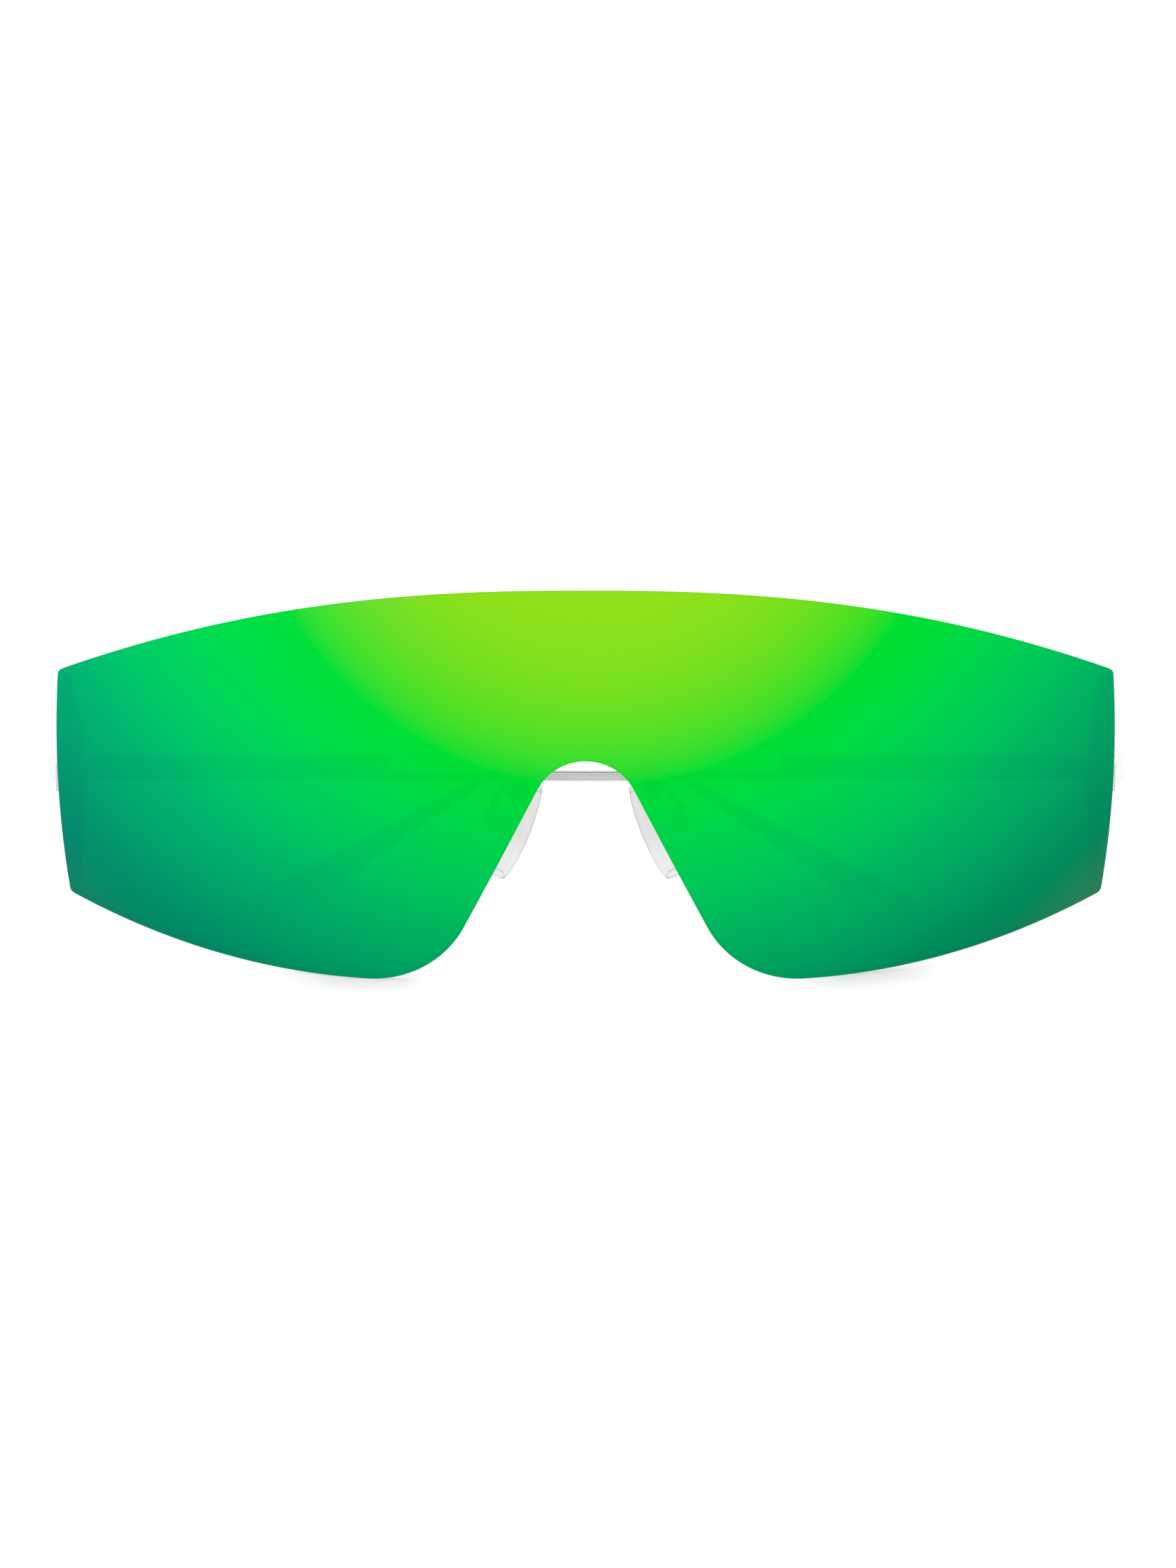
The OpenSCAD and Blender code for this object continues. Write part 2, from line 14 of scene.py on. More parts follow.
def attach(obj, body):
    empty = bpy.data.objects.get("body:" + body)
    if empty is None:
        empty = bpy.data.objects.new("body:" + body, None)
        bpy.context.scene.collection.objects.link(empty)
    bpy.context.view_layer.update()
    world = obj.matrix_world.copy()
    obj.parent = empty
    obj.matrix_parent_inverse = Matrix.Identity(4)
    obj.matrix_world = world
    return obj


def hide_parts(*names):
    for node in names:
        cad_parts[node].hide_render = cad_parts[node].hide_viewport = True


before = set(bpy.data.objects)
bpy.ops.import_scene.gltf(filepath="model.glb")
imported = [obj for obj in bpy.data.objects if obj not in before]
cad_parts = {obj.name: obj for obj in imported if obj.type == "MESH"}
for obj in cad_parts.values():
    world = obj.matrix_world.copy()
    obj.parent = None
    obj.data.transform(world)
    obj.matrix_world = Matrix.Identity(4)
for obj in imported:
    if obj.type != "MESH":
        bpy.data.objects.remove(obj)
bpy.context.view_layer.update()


# ------------------------------------------------------------
# Lens. One moulded shield of tinted polycarbonate, 1.8 mm thick and curved like a ball. Its
# front is vacuum coated with a green mirror, gold in the upper middle and teal at the low
# corners. The cut edge is polished, and the back is left with its dark tint.

MM = 0.001
HALF_WIDTH, HEIGHT, THICK = 74.0, 55.0, 1.8
BALL_Y, BALL_Z, BALL_R = 100.975, 26.0, 120.0
BACK_R = BALL_R - THICK
WIDEST_Z, SIDE_BOW = 30.0, 1.6
LOW_CORNER, TOP_CORNER = Vector((72.4, 8.0)), Vector((73.6953, 39.6))
TOP_POWER, CORNER_SOFT = 2.3, 0.6
NOTCH_MIDDLE, NOTCH_R = Vector((0.0, 24.6)), 7.4
LOBE_MIDDLE, LOBE_R = Vector((30.2, 15.2)), 15.2
FLANK_DEGREES = 27.106
EDGE_ROUND, ROUND_STEPS = 0.1, 4
BACK_EDGE_IN_SHARE = 0.0035
ARC_STEPS, LOW_STEPS, SIDE_STEPS, TOP_STEPS = 60, 80, 60, 120
CELLS_ACROSS, RUN_ACROSS, CELLS_UP, RUN_UP = 330, 220, 50, 32


def side_x(z):
    return HALF_WIDTH - SIDE_BOW * ((z - WIDEST_Z) / (WIDEST_Z - LOW_CORNER.y)) ** 2


def face_y(r, x, z):
    """Y of the ball-shaped face of radius r behind a place in the front view."""
    return BALL_Y - math.sqrt(r * r - x * x - (z - BALL_Z) ** 2)


def lower_edge(x):
    return Vector((x, LOW_CORNER.y * ((x - LOBE_MIDDLE.x) / (LOW_CORNER.x - LOBE_MIDDLE.x)) ** 2))


def upper_edge(x):
    return Vector((x, HEIGHT - (HEIGHT - TOP_CORNER.y) * (x / TOP_CORNER.x) ** TOP_POWER))


def side_edge(z):
    return Vector((side_x(z), z))


def arc(middle, r, first, last, steps):
    turns = [math.radians(first + (last - first) * i / steps) for i in range(steps + 1)]
    return [middle + r * Vector((math.cos(a), math.sin(a))) for a in turns]


def run(edge, first, last, steps):
    return [edge(first + (last - first) * i / steps) for i in range(steps + 1)]


def soft_corner(first, corner, last, steps=12):
    """The curve of a rounded corner, from first to last along the lines to the corner."""
    shares = [i / steps for i in range(steps + 1)]
    return [first * (1 - t) ** 2 + corner * 2 * t * (1 - t) + last * t ** 2 for t in shares]


def spread(points, shares):
    """Points at the given shares of the length of a line of points."""
    reach = [0.0]
    for a, b in zip(points, points[1:]):
        reach.append(reach[-1] + (b - a).length)
    found, k = [], 0
    for share in shares:
        want = share * reach[-1]
        while k < len(points) - 2 and reach[k + 1] < want:
            k += 1
        step = reach[k + 1] - reach[k]
        found.append(points[k].lerp(points[k + 1], (want - reach[k]) / step if step else 0))
    return found


def close_at_ends(count, length, fine=0.12, fine_steps=8):
    """Shares of a length, evenly spaced but for a few close ones at both ends."""
    near = [fine * i / length for i in range(fine_steps)]
    start = fine * fine_steps / length
    even = [start + (1 - 2 * start) * i / count for i in range(count + 1)]
    return near + even + [1 - share for share in reversed(near)]


def half_lens_edges():
    """The right half of the lens's edge: its lower run, its side and its upper run."""
    low_x, low_z = LOW_CORNER.x - CORNER_SOFT, LOW_CORNER.y + CORNER_SOFT
    top_x, top_z = TOP_CORNER.x - CORNER_SOFT, TOP_CORNER.y - CORNER_SOFT
    low = soft_corner(lower_edge(low_x), LOW_CORNER, side_edge(low_z))
    top = soft_corner(side_edge(top_z), TOP_CORNER, upper_edge(top_x))
    half = len(low) // 2 + 1
    lower = (arc(NOTCH_MIDDLE, NOTCH_R, 90, FLANK_DEGREES, ARC_STEPS)
             + arc(LOBE_MIDDLE, LOBE_R, FLANK_DEGREES + 180, 270, ARC_STEPS)
             + run(lower_edge, LOBE_MIDDLE.x, low_x, LOW_STEPS)[1:] + low[1:half])
    side = low[half - 1:] + run(side_edge, low_z, top_z, SIDE_STEPS)[1:] + top[1:half]
    upper = top[half - 1:] + run(upper_edge, top_x, 0, TOP_STEPS)[1:]
    return lower, side, upper


def across(points):
    """A right half, from the middle outwards, made whole from left to right."""
    return [Vector((-p.x, p.y)) for p in reversed(points[1:])] + points


def make_piece(name, points, faces, finishes, face_finish=None):
    """A new object from points in millimetres, with all its faces looking outwards."""
    mesh = bpy.data.meshes.new(name)
    mesh.from_pydata([[c * MM for c in p] for p in points], [], faces)
    for finish in finishes:
        mesh.materials.append(finish)
    if face_finish:
        mesh.polygons.foreach_set("material_index", face_finish)
    work = bmesh.new()
    work.from_mesh(mesh)
    bmesh.ops.recalc_face_normals(work, faces=work.faces)
    work.to_mesh(mesh)
    work.free()
    mesh.shade_smooth()
    made = bpy.data.objects.new(name, mesh)
    bpy.context.scene.collection.objects.link(made)
    return made


def even_shading(made):
    """Lets the large faces set the shading, so that small rounded edges stay crisp."""
    weigh = made.modifiers.new("even_shading", "WEIGHTED_NORMAL")
    weigh.keep_sharp = True
    return made


class Signal:
    """A shader socket whose sums add their Math nodes."""

    def __init__(self, finish, socket):
        self.finish, self.socket = finish, socket

    def maths(self, operation, first, second):
        return self.finish.node("Math", {"operation": operation}, {0: first, 1: second})

    def __add__(self, other):
        return self.maths("ADD", self, other)

    def __sub__(self, other):
        return self.maths("SUBTRACT", self, other)

    def __rsub__(self, other):
        return self.maths("SUBTRACT", other, self)

    def __mul__(self, other):
        return self.maths("MULTIPLY", self, other)

    def __truediv__(self, other):
        return self.maths("DIVIDE", self, other)

    def __rtruediv__(self, other):
        return self.maths("DIVIDE", other, self)

    def __pow__(self, other):
        return self.maths("POWER", self, other)

    def __rpow__(self, other):
        return self.maths("POWER", other, self)

    __radd__ = __add__
    __rmul__ = __mul__


class Finish:
    """A finish in the making: its material and the nodes that make it up."""

    def __init__(self, name):
        self.material = bpy.data.materials.new(name)
        self.material.use_nodes = True
        self.tree = self.material.node_tree
        self.tree.nodes.clear()

    def node(self, kind, settings=None, values=None, output=0):
        """Adds a node, sets it up, and gives back one of its outputs."""
        made = self.tree.nodes.new("ShaderNode" + kind)
        for key, value in (settings or {}).items():
            if key == "stops":
                self.set_stops(made.color_ramp, value)
            else:
                setattr(made, key, value)
        for key, value in (values or {}).items():
            if isinstance(value, Signal):
                self.tree.links.new(value.socket, made.inputs[key])
            else:
                made.inputs[key].default_value = value
        return Signal(self, made.outputs[output])

    def set_stops(self, ramp, stops):
        ramp.interpolation = "CARDINAL"
        while len(ramp.elements) < len(stops):
            ramp.elements.new(0.5)
        for element, (place, colour) in zip(ramp.elements, stops):
            element.position, element.color = place, (*colour, 1)

    def places(self):
        """X, Y and Z of the surface, in millimetres."""
        place = self.node("TexCoord", output="Object")
        return [self.node("SeparateXYZ", values={0: place}, output=k) / MM for k in range(3)]

    def tint(self, how, share, first, second):
        """Two colours mixed, added or divided."""
        first, second = [c if isinstance(c, Signal) else (*c, 1) for c in (first, second)]
        return self.node("Mix", {"data_type": "RGBA", "blend_type": how},
                         {0: share, 6: first, 7: second}, output=2)

    def ease(self, value, low, high, at_low, at_high):
        return self.node("MapRange", {"interpolation_type": "SMOOTHSTEP"},
                         {0: value, 1: low, 2: high, 3: at_low, 4: at_high})

    def at_least_0(self, value):
        return self.node("Math", {"operation": "MAXIMUM"}, {0: value, 1: 0.0})

    def size_of(self, value):
        return self.node("Math", {"operation": "ABSOLUTE"}, {0: value})

    def noise(self, scale, detail=2.0, stretch=(1, 1, 1)):
        """Noise in millimetres, drawn out along an axis by a small stretch there."""
        place = self.node("TexCoord", output="Object")
        spot = self.node("VectorMath", {"operation": "MULTIPLY"},
                         {0: place, 1: [s / MM for s in stretch]})
        return self.node("TexNoise", values={"Vector": spot, "Scale": scale, "Detail": detail})

    def bump(self, height, depth):
        return self.node("Bump", values={"Height": height, "Strength": 1.0,
                                         "Distance": depth * MM})

    def surface(self, grain, dark, light, rough, spread=0.0, more=None):
        """A surface whose shade, and the spread of its roughness, follow a grain."""
        return self.node("BsdfPrincipled", values={
            "Base Color": self.tint("MIX", grain, dark, light),
            "Roughness": grain * spread + rough if spread else rough, **(more or {})})

    def clear(self, tint=(1, 1, 1)):
        return self.node("BsdfTransparent", values={0: (*tint, 1)})

    def mixed(self, share, first, second):
        return self.node("MixShader", values={0: share, 1: first, 2: second})

    def done(self, shader):
        out = self.tree.nodes.new("ShaderNodeOutputMaterial")
        self.tree.links.new(shader.socket, out.inputs["Surface"])
        return self.material


MIRROR_STOPS = [(55, (0.0, 0.734, 0.014)), (70, (0.0, 0.681, 0.06)), (84, (0.0, 0.509, 0.114)),
                (98, (0.0, 0.322, 0.121)), (110, (0.0, 0.218, 0.099))]
MIRROR_MIDDLE_Z, MIRROR_REACH = 92.6, 110.0
GLOW_MIDDLE, GLOW_FLAT = (1.4, 80.3), 0.984
GLOW_INNER, GLOW_OUTER, GLOW_RED, GLOW_PAST = 26.4, 60.1, 0.29, -0.063
BROWN_FROM, BROWN_TO, BROWN_RED, BROWN_LEFT = 104.0, 113.0, 0.027, 0.2
LEFT_BLUE, LEFT_BLUE_FROM = (0.0, 0.025, 0.071), 0.25
CLEAR_SHARE, CLEAR_GREEN, TINT_SHARE = 0.333, (0.0, 1.0, 0.05), 0.81
MIRROR_ROUGH, SMEAR_ROUGH = 0.05, 0.05
EDGE_DARK, EDGE_LIGHT = (0.004, 0.12, 0.07), (0.008, 0.17, 0.10)
BACK_DARK, BACK_LIGHT = (0.012, 0.035, 0.022), (0.018, 0.045, 0.028)
SMEAR_SCALE, EDGE_GRAIN, BACK_GRAIN, FINE = 0.05, 0.6, 0.08, 3.0


def mirror_colour(finish):
    """The green of the coating, by its place on the lens."""
    x, _, z = finish.places()
    ring = (x * x + (z - MIRROR_MIDDLE_Z) ** 2) ** 0.5
    green = finish.node("ValToRGB", {"stops": [(at / MIRROR_REACH, c) for at, c in MIRROR_STOPS]},
                        {0: ring / MIRROR_REACH})
    from_glow = ((x - GLOW_MIDDLE[0]) ** 2 + ((z - GLOW_MIDDLE[1]) * GLOW_FLAT) ** 2) ** 0.5
    glow = finish.at_least_0(finish.ease(from_glow, GLOW_INNER, GLOW_OUTER, GLOW_RED, GLOW_PAST))
    brown = (finish.ease(ring, BROWN_FROM, BROWN_TO, 0.0, BROWN_RED)
             * finish.ease(x, -HALF_WIDTH, HALF_WIDTH, BROWN_LEFT, 1.0))
    gold = finish.tint("ADD", glow + brown, green, (1.0, 0.0, 0.0))
    to_left = finish.at_least_0(x * (-1 / HALF_WIDTH) - LEFT_BLUE_FROM)
    return finish.tint("ADD", to_left, gold, LEFT_BLUE)


def coated_front():
    """The mirror, which thins a little where it is brightest and lets green light through."""
    finish = Finish("green_mirror")
    colour = mirror_colour(finish)
    green = finish.node("SeparateColor", values={0: colour}, output=1)
    coating = 1 - green * CLEAR_SHARE
    kept = 1 - CLEAR_SHARE * (1 - TINT_SHARE)
    smear = finish.noise(SMEAR_SCALE, FINE)
    mirror = finish.node("BsdfPrincipled", values={
        "Base Color": finish.tint("DIVIDE", 1.0, colour, coating / kept),
        "Metallic": 1.0, "Roughness": smear * SMEAR_ROUGH + MIRROR_ROUGH})
    return finish.done(finish.mixed(coating, finish.clear(CLEAR_GREEN), mirror))


def polished_edge():
    finish = Finish("lens_edge")
    return finish.done(finish.surface(
        finish.noise(EDGE_GRAIN, FINE), EDGE_DARK, EDGE_LIGHT, rough=0.3, spread=0.1,
        more={"Specular IOR Level": 0.2}))


def tinted_back():
    finish = Finish("lens_back")
    tint = finish.surface(finish.noise(BACK_GRAIN), BACK_DARK, BACK_LIGHT, rough=0.05,
                          spread=0.06, more={"Coat Weight": 0.5, "Coat Roughness": 0.03})
    return finish.done(finish.mixed(TINT_SHARE, finish.clear(), tint))


def lens_point(depth, place):
    """A place in the front view, taken down into the lens square to its face."""
    x = place.x * (1 - BACK_EDGE_IN_SHARE * depth / THICK)
    z = BALL_Z + (place.y - BALL_Z) * (1 - depth / BALL_R)
    return (x, face_y(BALL_R - depth, x, z), z)


def grid_faces(n, m, start):
    """The faces of a grid of n by m cells, whose points are numbered from start."""
    corners = [start + j * (n + 1) + i for j in range(m) for i in range(n)]
    return [(a, a + 1, a + n + 2, a + n + 1) for a in corners]


def grid_rim(n, m):
    """The numbers of the points round the rim of a grid of n by m cells."""
    return (list(range(n + 1)) + [j * (n + 1) + n for j in range(1, m + 1)]
            + [m * (n + 1) + i for i in range(n - 1, -1, -1)]
            + [j * (n + 1) for j in range(m - 1, 0, -1)])


def band(first, second):
    """The faces between two loops of as many points."""
    return [(a, b, d, c) for a, b, c, d in zip(first, first[1:] + first[:1],
                                               second, second[1:] + second[:1])]


def fill_outline(edge, across_shares, up_shares):
    """Rows of a smooth grid inside an outline that starts at its low left corner."""
    n, m = len(across_shares) - 1, len(up_shares) - 1
    low, right = edge[:n + 1], edge[n:n + m + 1]
    top, left = edge[n + m:2 * n + m + 1][::-1], [edge[0]] + edge[2 * n + m:][::-1]
    rows = [low]
    for j in range(1, m):
        v, row = up_shares[j], [left[j]]
        for i in range(1, n):
            u = across_shares[i]
            row.append(low[i] * (1 - v) + top[i] * v + left[j] * (1 - u) + right[j] * u
                       - (low[0] * (1 - u) * (1 - v) + low[n] * u * (1 - v)
                          + top[0] * (1 - u) * v + top[n] * u * v))
        rows.append(row + [right[j]])
    return rows + [top]


def build_lens():
    lower, side, upper = half_lens_edges()
    across_shares = close_at_ends(CELLS_ACROSS, RUN_ACROSS)
    up_shares = close_at_ends(CELLS_UP, RUN_UP)
    low = spread(across(lower), across_shares)
    top = spread(across(upper[::-1]), across_shares)
    right = spread(side, up_shares)
    left = [Vector((-p.x, p.y)) for p in reversed(right)]
    ring = low + right[1:] + top[::-1][1:] + left[1:-1]
    ways = [(after - before).normalized()
            for before, after in zip(ring[-1:] + ring[:-1], ring[1:] + ring[:1])]

    def inset(amount):
        return [p - Vector((way.y, -way.x)) * amount for p, way in zip(ring, ways)]

    rows = fill_outline(inset(EDGE_ROUND), across_shares, up_shares)
    places = [p for row in rows for p in row]
    n, m, count = len(rows[0]) - 1, len(rows) - 1, len(places)
    points = [lens_point(depth, p) for depth in (0.0, THICK) for p in places]
    faces = grid_faces(n, m, 0) + grid_faces(n, m, count)
    on_front, on_edge, on_back = range(3)
    face_finish = [on_front] * (n * m) + [on_back] * (n * m)

    turns = [math.radians(90 * k / ROUND_STEPS) for k in range(1, ROUND_STEPS + 1)]
    rounds = [(EDGE_ROUND * (1 - math.sin(a)), EDGE_ROUND * (1 - math.cos(a))) for a in turns]
    rounds += [(amount, THICK - depth) for amount, depth in reversed(rounds)]
    loops = [grid_rim(n, m)]
    for amount, depth in rounds:
        loops.append(list(range(len(points), len(points) + len(ring))))
        points += [lens_point(depth, p) for p in inset(amount)]
    loops.append([count + k for k in loops[0]])
    for step, (first, second) in enumerate(zip(loops, loops[1:])):
        faces += band(first, second)
        face_finish += [on_front if step < ROUND_STEPS else on_edge] * len(ring)
    return make_piece("lens_shield", points, faces,
                      [coated_front(), polished_edge(), tinted_back()], face_finish)


lens = even_shading(build_lens())
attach(lens, "front")
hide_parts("lens")


# ------------------------------------------------------------
# End pieces. A thin steel strip is bonded down each side edge of the lens's back with a clear
# film. It is stamped to the lens's curve, and carries the hinge block, whose two thin knuckles
# are machined with it. All its edges are eased.

STRIP_W, STRIP_END_W, STRIP_T, STRIP_IN, STRIP_R, STRIP_EASE = 3.7, 1.7, 0.9, 0.35, 118.03, 0.18
STRIP_LOW, STRIP_FULL_LOW, STRIP_FULL_TOP, STRIP_TOP = 8.9, 21.7, 31.7, 38.7
TEMPLE_Z, BAR_H, BAR_T = 21.7, 3.9, 1.0
HINGE = Vector((-71.9, 15.3292, 23.65))
STOP_Y, BARREL_R, BORE_R, KNUCKLE_H, TAB_SINK = 10.9792, 1.4, 0.62, 1.16, 1.0
BLOCK_OUT, BLOCK_IN = 2.55, 1.4
FLAT_WITHIN, ONE_WITHIN, SHARP_OVER = math.radians(1), 0.002, math.radians(35)
STRIP_SMOOTH = [0.4 * step for step in range(-3, 4)]


def strip_width(z):
    """The strip's width at a height, with its corners smoothed."""
    def plain(at):
        if at < STRIP_FULL_LOW:
            share = (at - STRIP_LOW) / (STRIP_FULL_LOW - STRIP_LOW)
        else:
            share = (STRIP_TOP - at) / (STRIP_TOP - STRIP_FULL_TOP)
        return STRIP_END_W + (STRIP_W - STRIP_END_W) * min(1.0, share)
    return sum(plain(z + step) for step in STRIP_SMOOTH) / len(STRIP_SMOOTH)


def grid_solid(front, back, n, m):
    """A closed sheet between two grids of points, each of n by m cells."""
    half, rim = len(front), grid_rim(n, m)
    return front + back, (grid_faces(n, m, 0) + grid_faces(n, m, half)
                          + band(rim, [half + k for k in rim]))


def loops_of(n, count, start=0):
    """The numbers of the points in a stack of loops, each of n points."""
    return [list(range(start + j * n, start + (j + 1) * n)) for j in range(count)]


def ring_solid(outer, inner, low, high, put):
    """A flat piece with a hole: two matching rings of points, between two levels."""
    points = [put(p.x, p.y, level) for level in (low, high) for ring in (outer, inner)
              for p in ring]
    low_out, low_in, high_out, high_in = loops_of(len(outer), 4)
    return points, (band(low_out, low_in) + band(high_out, high_in)
                    + band(low_out, high_out) + band(low_in, high_in))


def round_ring(r, angles):
    return [Vector((math.cos(math.radians(a)), math.sin(math.radians(a)))) * r for a in angles]


def bored_tab(r, bore_r, reach, low, high, put, turns=72):
    """A ring round a pin, between two levels, that runs on as a tab to a reach in +Y."""
    angles = sorted([360 * i / turns for i in range(turns)]
                    + [math.degrees(math.atan2(reach, side)) for side in (r, -r)])
    outer = [way * (r if way.y <= 0 else 1 / max(abs(way.x) / r, way.y / reach))
             for way in round_ring(1, angles)]
    return ring_solid(outer, round_ring(bore_r, angles), low, high, put)


def put_together(*solids):
    points, faces = [], []
    for more_points, more_faces in solids:
        start = len(points)
        points += more_points
        faces += [tuple(start + k for k in face) for face in more_faces]
    return points, faces


def mirrored(solid):
    points, faces = solid
    return [(-x, y, z) for x, y, z in points], faces


def worked(operation, first, *others):
    """A solid with others made one with it, or cut out of it, and each of its flats one face."""
    whole = make_piece("whole", *first, [])
    for solid in others:
        tool = make_piece("tool", *solid, [])
        work = whole.modifiers.new("work", "BOOLEAN")
        work.operation, work.solver, work.object = operation, "EXACT", tool
        bpy.context.view_layer.update()
        shape = whole.evaluated_get(bpy.context.evaluated_depsgraph_get())
        whole.data = bpy.data.meshes.new_from_object(shape)
        whole.modifiers.clear()
        bpy.data.objects.remove(tool)
    clean = bmesh.new()
    clean.from_mesh(whole.data)
    bmesh.ops.remove_doubles(clean, verts=clean.verts, dist=ONE_WITHIN * MM)
    bmesh.ops.dissolve_limit(clean, angle_limit=FLAT_WITHIN, verts=clean.verts, edges=clean.edges)
    clean.verts.index_update()
    points = [tuple(c / MM for c in corner.co) for corner in clean.verts]
    faces = [tuple(corner.index for corner in face.verts) for face in clean.faces]
    clean.free()
    bpy.data.objects.remove(whole)
    return points, faces


def ease_edges(made, width, steps=3):
    """Rounds the sharp edges of a metal or moulded piece, where its width isn't 0."""
    if width:
        bevel = made.modifiers.new("eased_edges", "BEVEL")
        bevel.width = width * MM
        bevel.segments = steps
        bevel.limit_method = "ANGLE"
        bevel.angle_limit = SHARP_OVER
        bevel.miter_outer = "MITER_ARC"
        weld = made.modifiers.new("one_skin", "WELD")
        weld.merge_threshold = ONE_WITHIN * MM
    return even_shading(made)


STEEL_GREY, STREAK_GRAIN, STREAK_FINE, STREAK_STRETCH = (0.72, 0.72, 0.73), 9.0, 4.0, 0.03
STREAK_ROUGH, STREAK_DEPTH, HAZE_GRAIN, HAZE_DARK, HAZE_ROUGH = 0.1, 0.0015, 0.35, 0.94, 0.08
# Painted light on the bar ends: how far it fades in along X, and across Y.
PAINTED_LIGHT_RUN, PAINTED_LIGHT_STEP = 1.5, 0.1
FILM_DARK, FILM_LIGHT, FILM_GRAIN, FILM_SHOWN = (0.60, 0.66, 0.63), (0.70, 0.75, 0.72), 2.0, 0.45


def satin_metal(name, along, colour=STEEL_GREY, rough=0.24, bright=None):
    """Steel rubbed along its length, then polished: fine streaks and a faint haze.

    A pair given here paints light on it: white outside of its X and in front of its Y, the lit
    fronts of the bar ends past the lens.
    """
    finish = Finish(name)
    streaks = finish.noise(STREAK_GRAIN, STREAK_FINE,
                           [STREAK_STRETCH if axis == along else 1.0 for axis in "xyz"])
    haze = finish.noise(HAZE_GRAIN, FINE)
    shade = finish.tint("MIX", haze, [c * HAZE_DARK for c in colour], colour)
    # Painted light: the fronts of the bar ends beyond the lens's edge are mixed to white, as if
    # lit where the lens doesn't shade them.
    if bright:
        x, y, _ = finish.places()
        end = (finish.ease(finish.size_of(x), bright[0], bright[0] + PAINTED_LIGHT_RUN, 0.0, 1.0)
               * finish.ease(y, bright[1] - PAINTED_LIGHT_STEP, bright[1] + PAINTED_LIGHT_STEP, 1.0, 0.0))
        shade = finish.tint("MIX", end, shade, (1.0, 1.0, 1.0))
    least = rough - (STREAK_ROUGH + HAZE_ROUGH) / 2
    return finish.done(finish.node("BsdfPrincipled", values={
        "Base Color": shade, "Metallic": 1.0,
        "Roughness": streaks * STREAK_ROUGH + haze * HAZE_ROUGH + least,
        "Normal": finish.bump(streaks, STREAK_DEPTH)}))


def bond_film():
    finish = Finish("clear_film")
    glue = finish.surface(finish.noise(FILM_GRAIN), FILM_DARK, FILM_LIGHT, rough=0.12)
    return finish.done(finish.mixed(FILM_SHOWN, finish.clear(), glue))


def strip_solid(rows=64, cols=8):
    front, back = [], []
    for face, r in ((front, STRIP_R), (back, STRIP_R - STRIP_T)):
        for j in range(rows + 1):
            z = STRIP_LOW + (STRIP_TOP - STRIP_LOW) * j / rows
            outer, inner = STRIP_IN - side_x(z), strip_width(z) - side_x(z)
            for i in range(cols + 1):
                x = outer + (inner - outer) * i / cols
                face.append((x, face_y(r, x, z), z))
    return grid_solid(front, back, cols, rows)


def block_solid(cells=6):
    front, back = [], []
    for j in range(cells + 1):
        z = TEMPLE_Z + BAR_H * j / cells
        for i in range(cells + 1):
            x = HINGE.x - BLOCK_OUT + (BLOCK_OUT + BLOCK_IN) * i / cells
            front.append((x, face_y(STRIP_R - STRIP_T / 2, x, z), z))
            back.append((x, STOP_Y, z))
    return grid_solid(front, back, cells, cells)


def knuckle_solid(low, high):
    return bored_tab(BARREL_R, BORE_R, HINGE.y - STOP_Y + TAB_SINK, low, high,
                     lambda x, y, z: (HINGE.x - x, HINGE.y - y, z))


polished_steel = satin_metal("polished_steel_upright", "z")
clear_film = bond_film()
end_piece_solid = put_together(strip_solid(), worked(
    "UNION", block_solid(), knuckle_solid(TEMPLE_Z, TEMPLE_Z + KNUCKLE_H),
    knuckle_solid(TEMPLE_Z + BAR_H - KNUCKLE_H, TEMPLE_Z + BAR_H)))
for side, solid in (("left", end_piece_solid), ("right", mirrored(end_piece_solid))):
    end_piece = ease_edges(make_piece(f"{side}_end_plate", *solid, [polished_steel]), STRIP_EASE)
    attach(end_piece, "front")
    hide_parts(f"{side}_end_piece")
    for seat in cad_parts[f"{side}_bond_film"].material_slots:
        seat.material = clear_film


# ------------------------------------------------------------
# Hinge screws and washers. A slotted steel screw runs down through the three knuckles of each
# hinge, with a thin white nylon washer either side of the middle one to keep it tight.

SCREW_R, HEAD_R, HEAD_H, SLOT_W = 0.6, 1.05, 0.45, 0.25
WASHER_T, WASHER_BORE, WASHER_IN, FIXED_GAP = 0.2, 0.65, 0.01, 0.02
SCREW_EASE, WASHER_EASE = 0.03, 0.04
HEAD_SHARES = ((1.0, 0.55), (0.94, 0.8), (0.8, 0.95), (0.5, 1.0))
TURNED_DARK, TURNED_LIGHT, TURNED_GRAIN = (0.74, 0.74, 0.75), (0.82, 0.82, 0.83), 6.0
NYLON_DARK, NYLON_LIGHT, NYLON_GRAIN = (0.72, 0.72, 0.70), (0.80, 0.80, 0.78), 1.4
TURNED_DEPTH, NYLON_DEPTH = 0.003, 0.004


def stacked(loops):
    """The faces between each loop of points and the next."""
    return [face for first, second in zip(loops, loops[1:]) for face in band(first, second)]


def capped(first, rings, last):
    """A closed solid from a first point, through rings of as many points, to a last point."""
    points = [first] + [p for ring in rings for p in ring] + [last]
    loops = loops_of(len(rings[0]), len(rings), 1)
    faces = stacked(loops)
    for tip, loop in ((0, loops[0]), (len(points) - 1, loops[-1])):
        faces += [(tip, b, a) for a, b in zip(loop, loop[1:] + loop[:1])]
    return points, faces


def lathe(profile, put, turns=48):
    """A solid turned from a profile of (radius, height) points that starts and ends at 0."""
    ways = [(math.cos(math.tau * k / turns), math.sin(math.tau * k / turns))
            for k in range(turns)]
    return capped(put(0, 0, profile[0][1]),
                  [[put(r * x, r * y, h) for x, y in ways] for r, h in profile[1:-1]],
                  put(0, 0, profile[-1][1]))


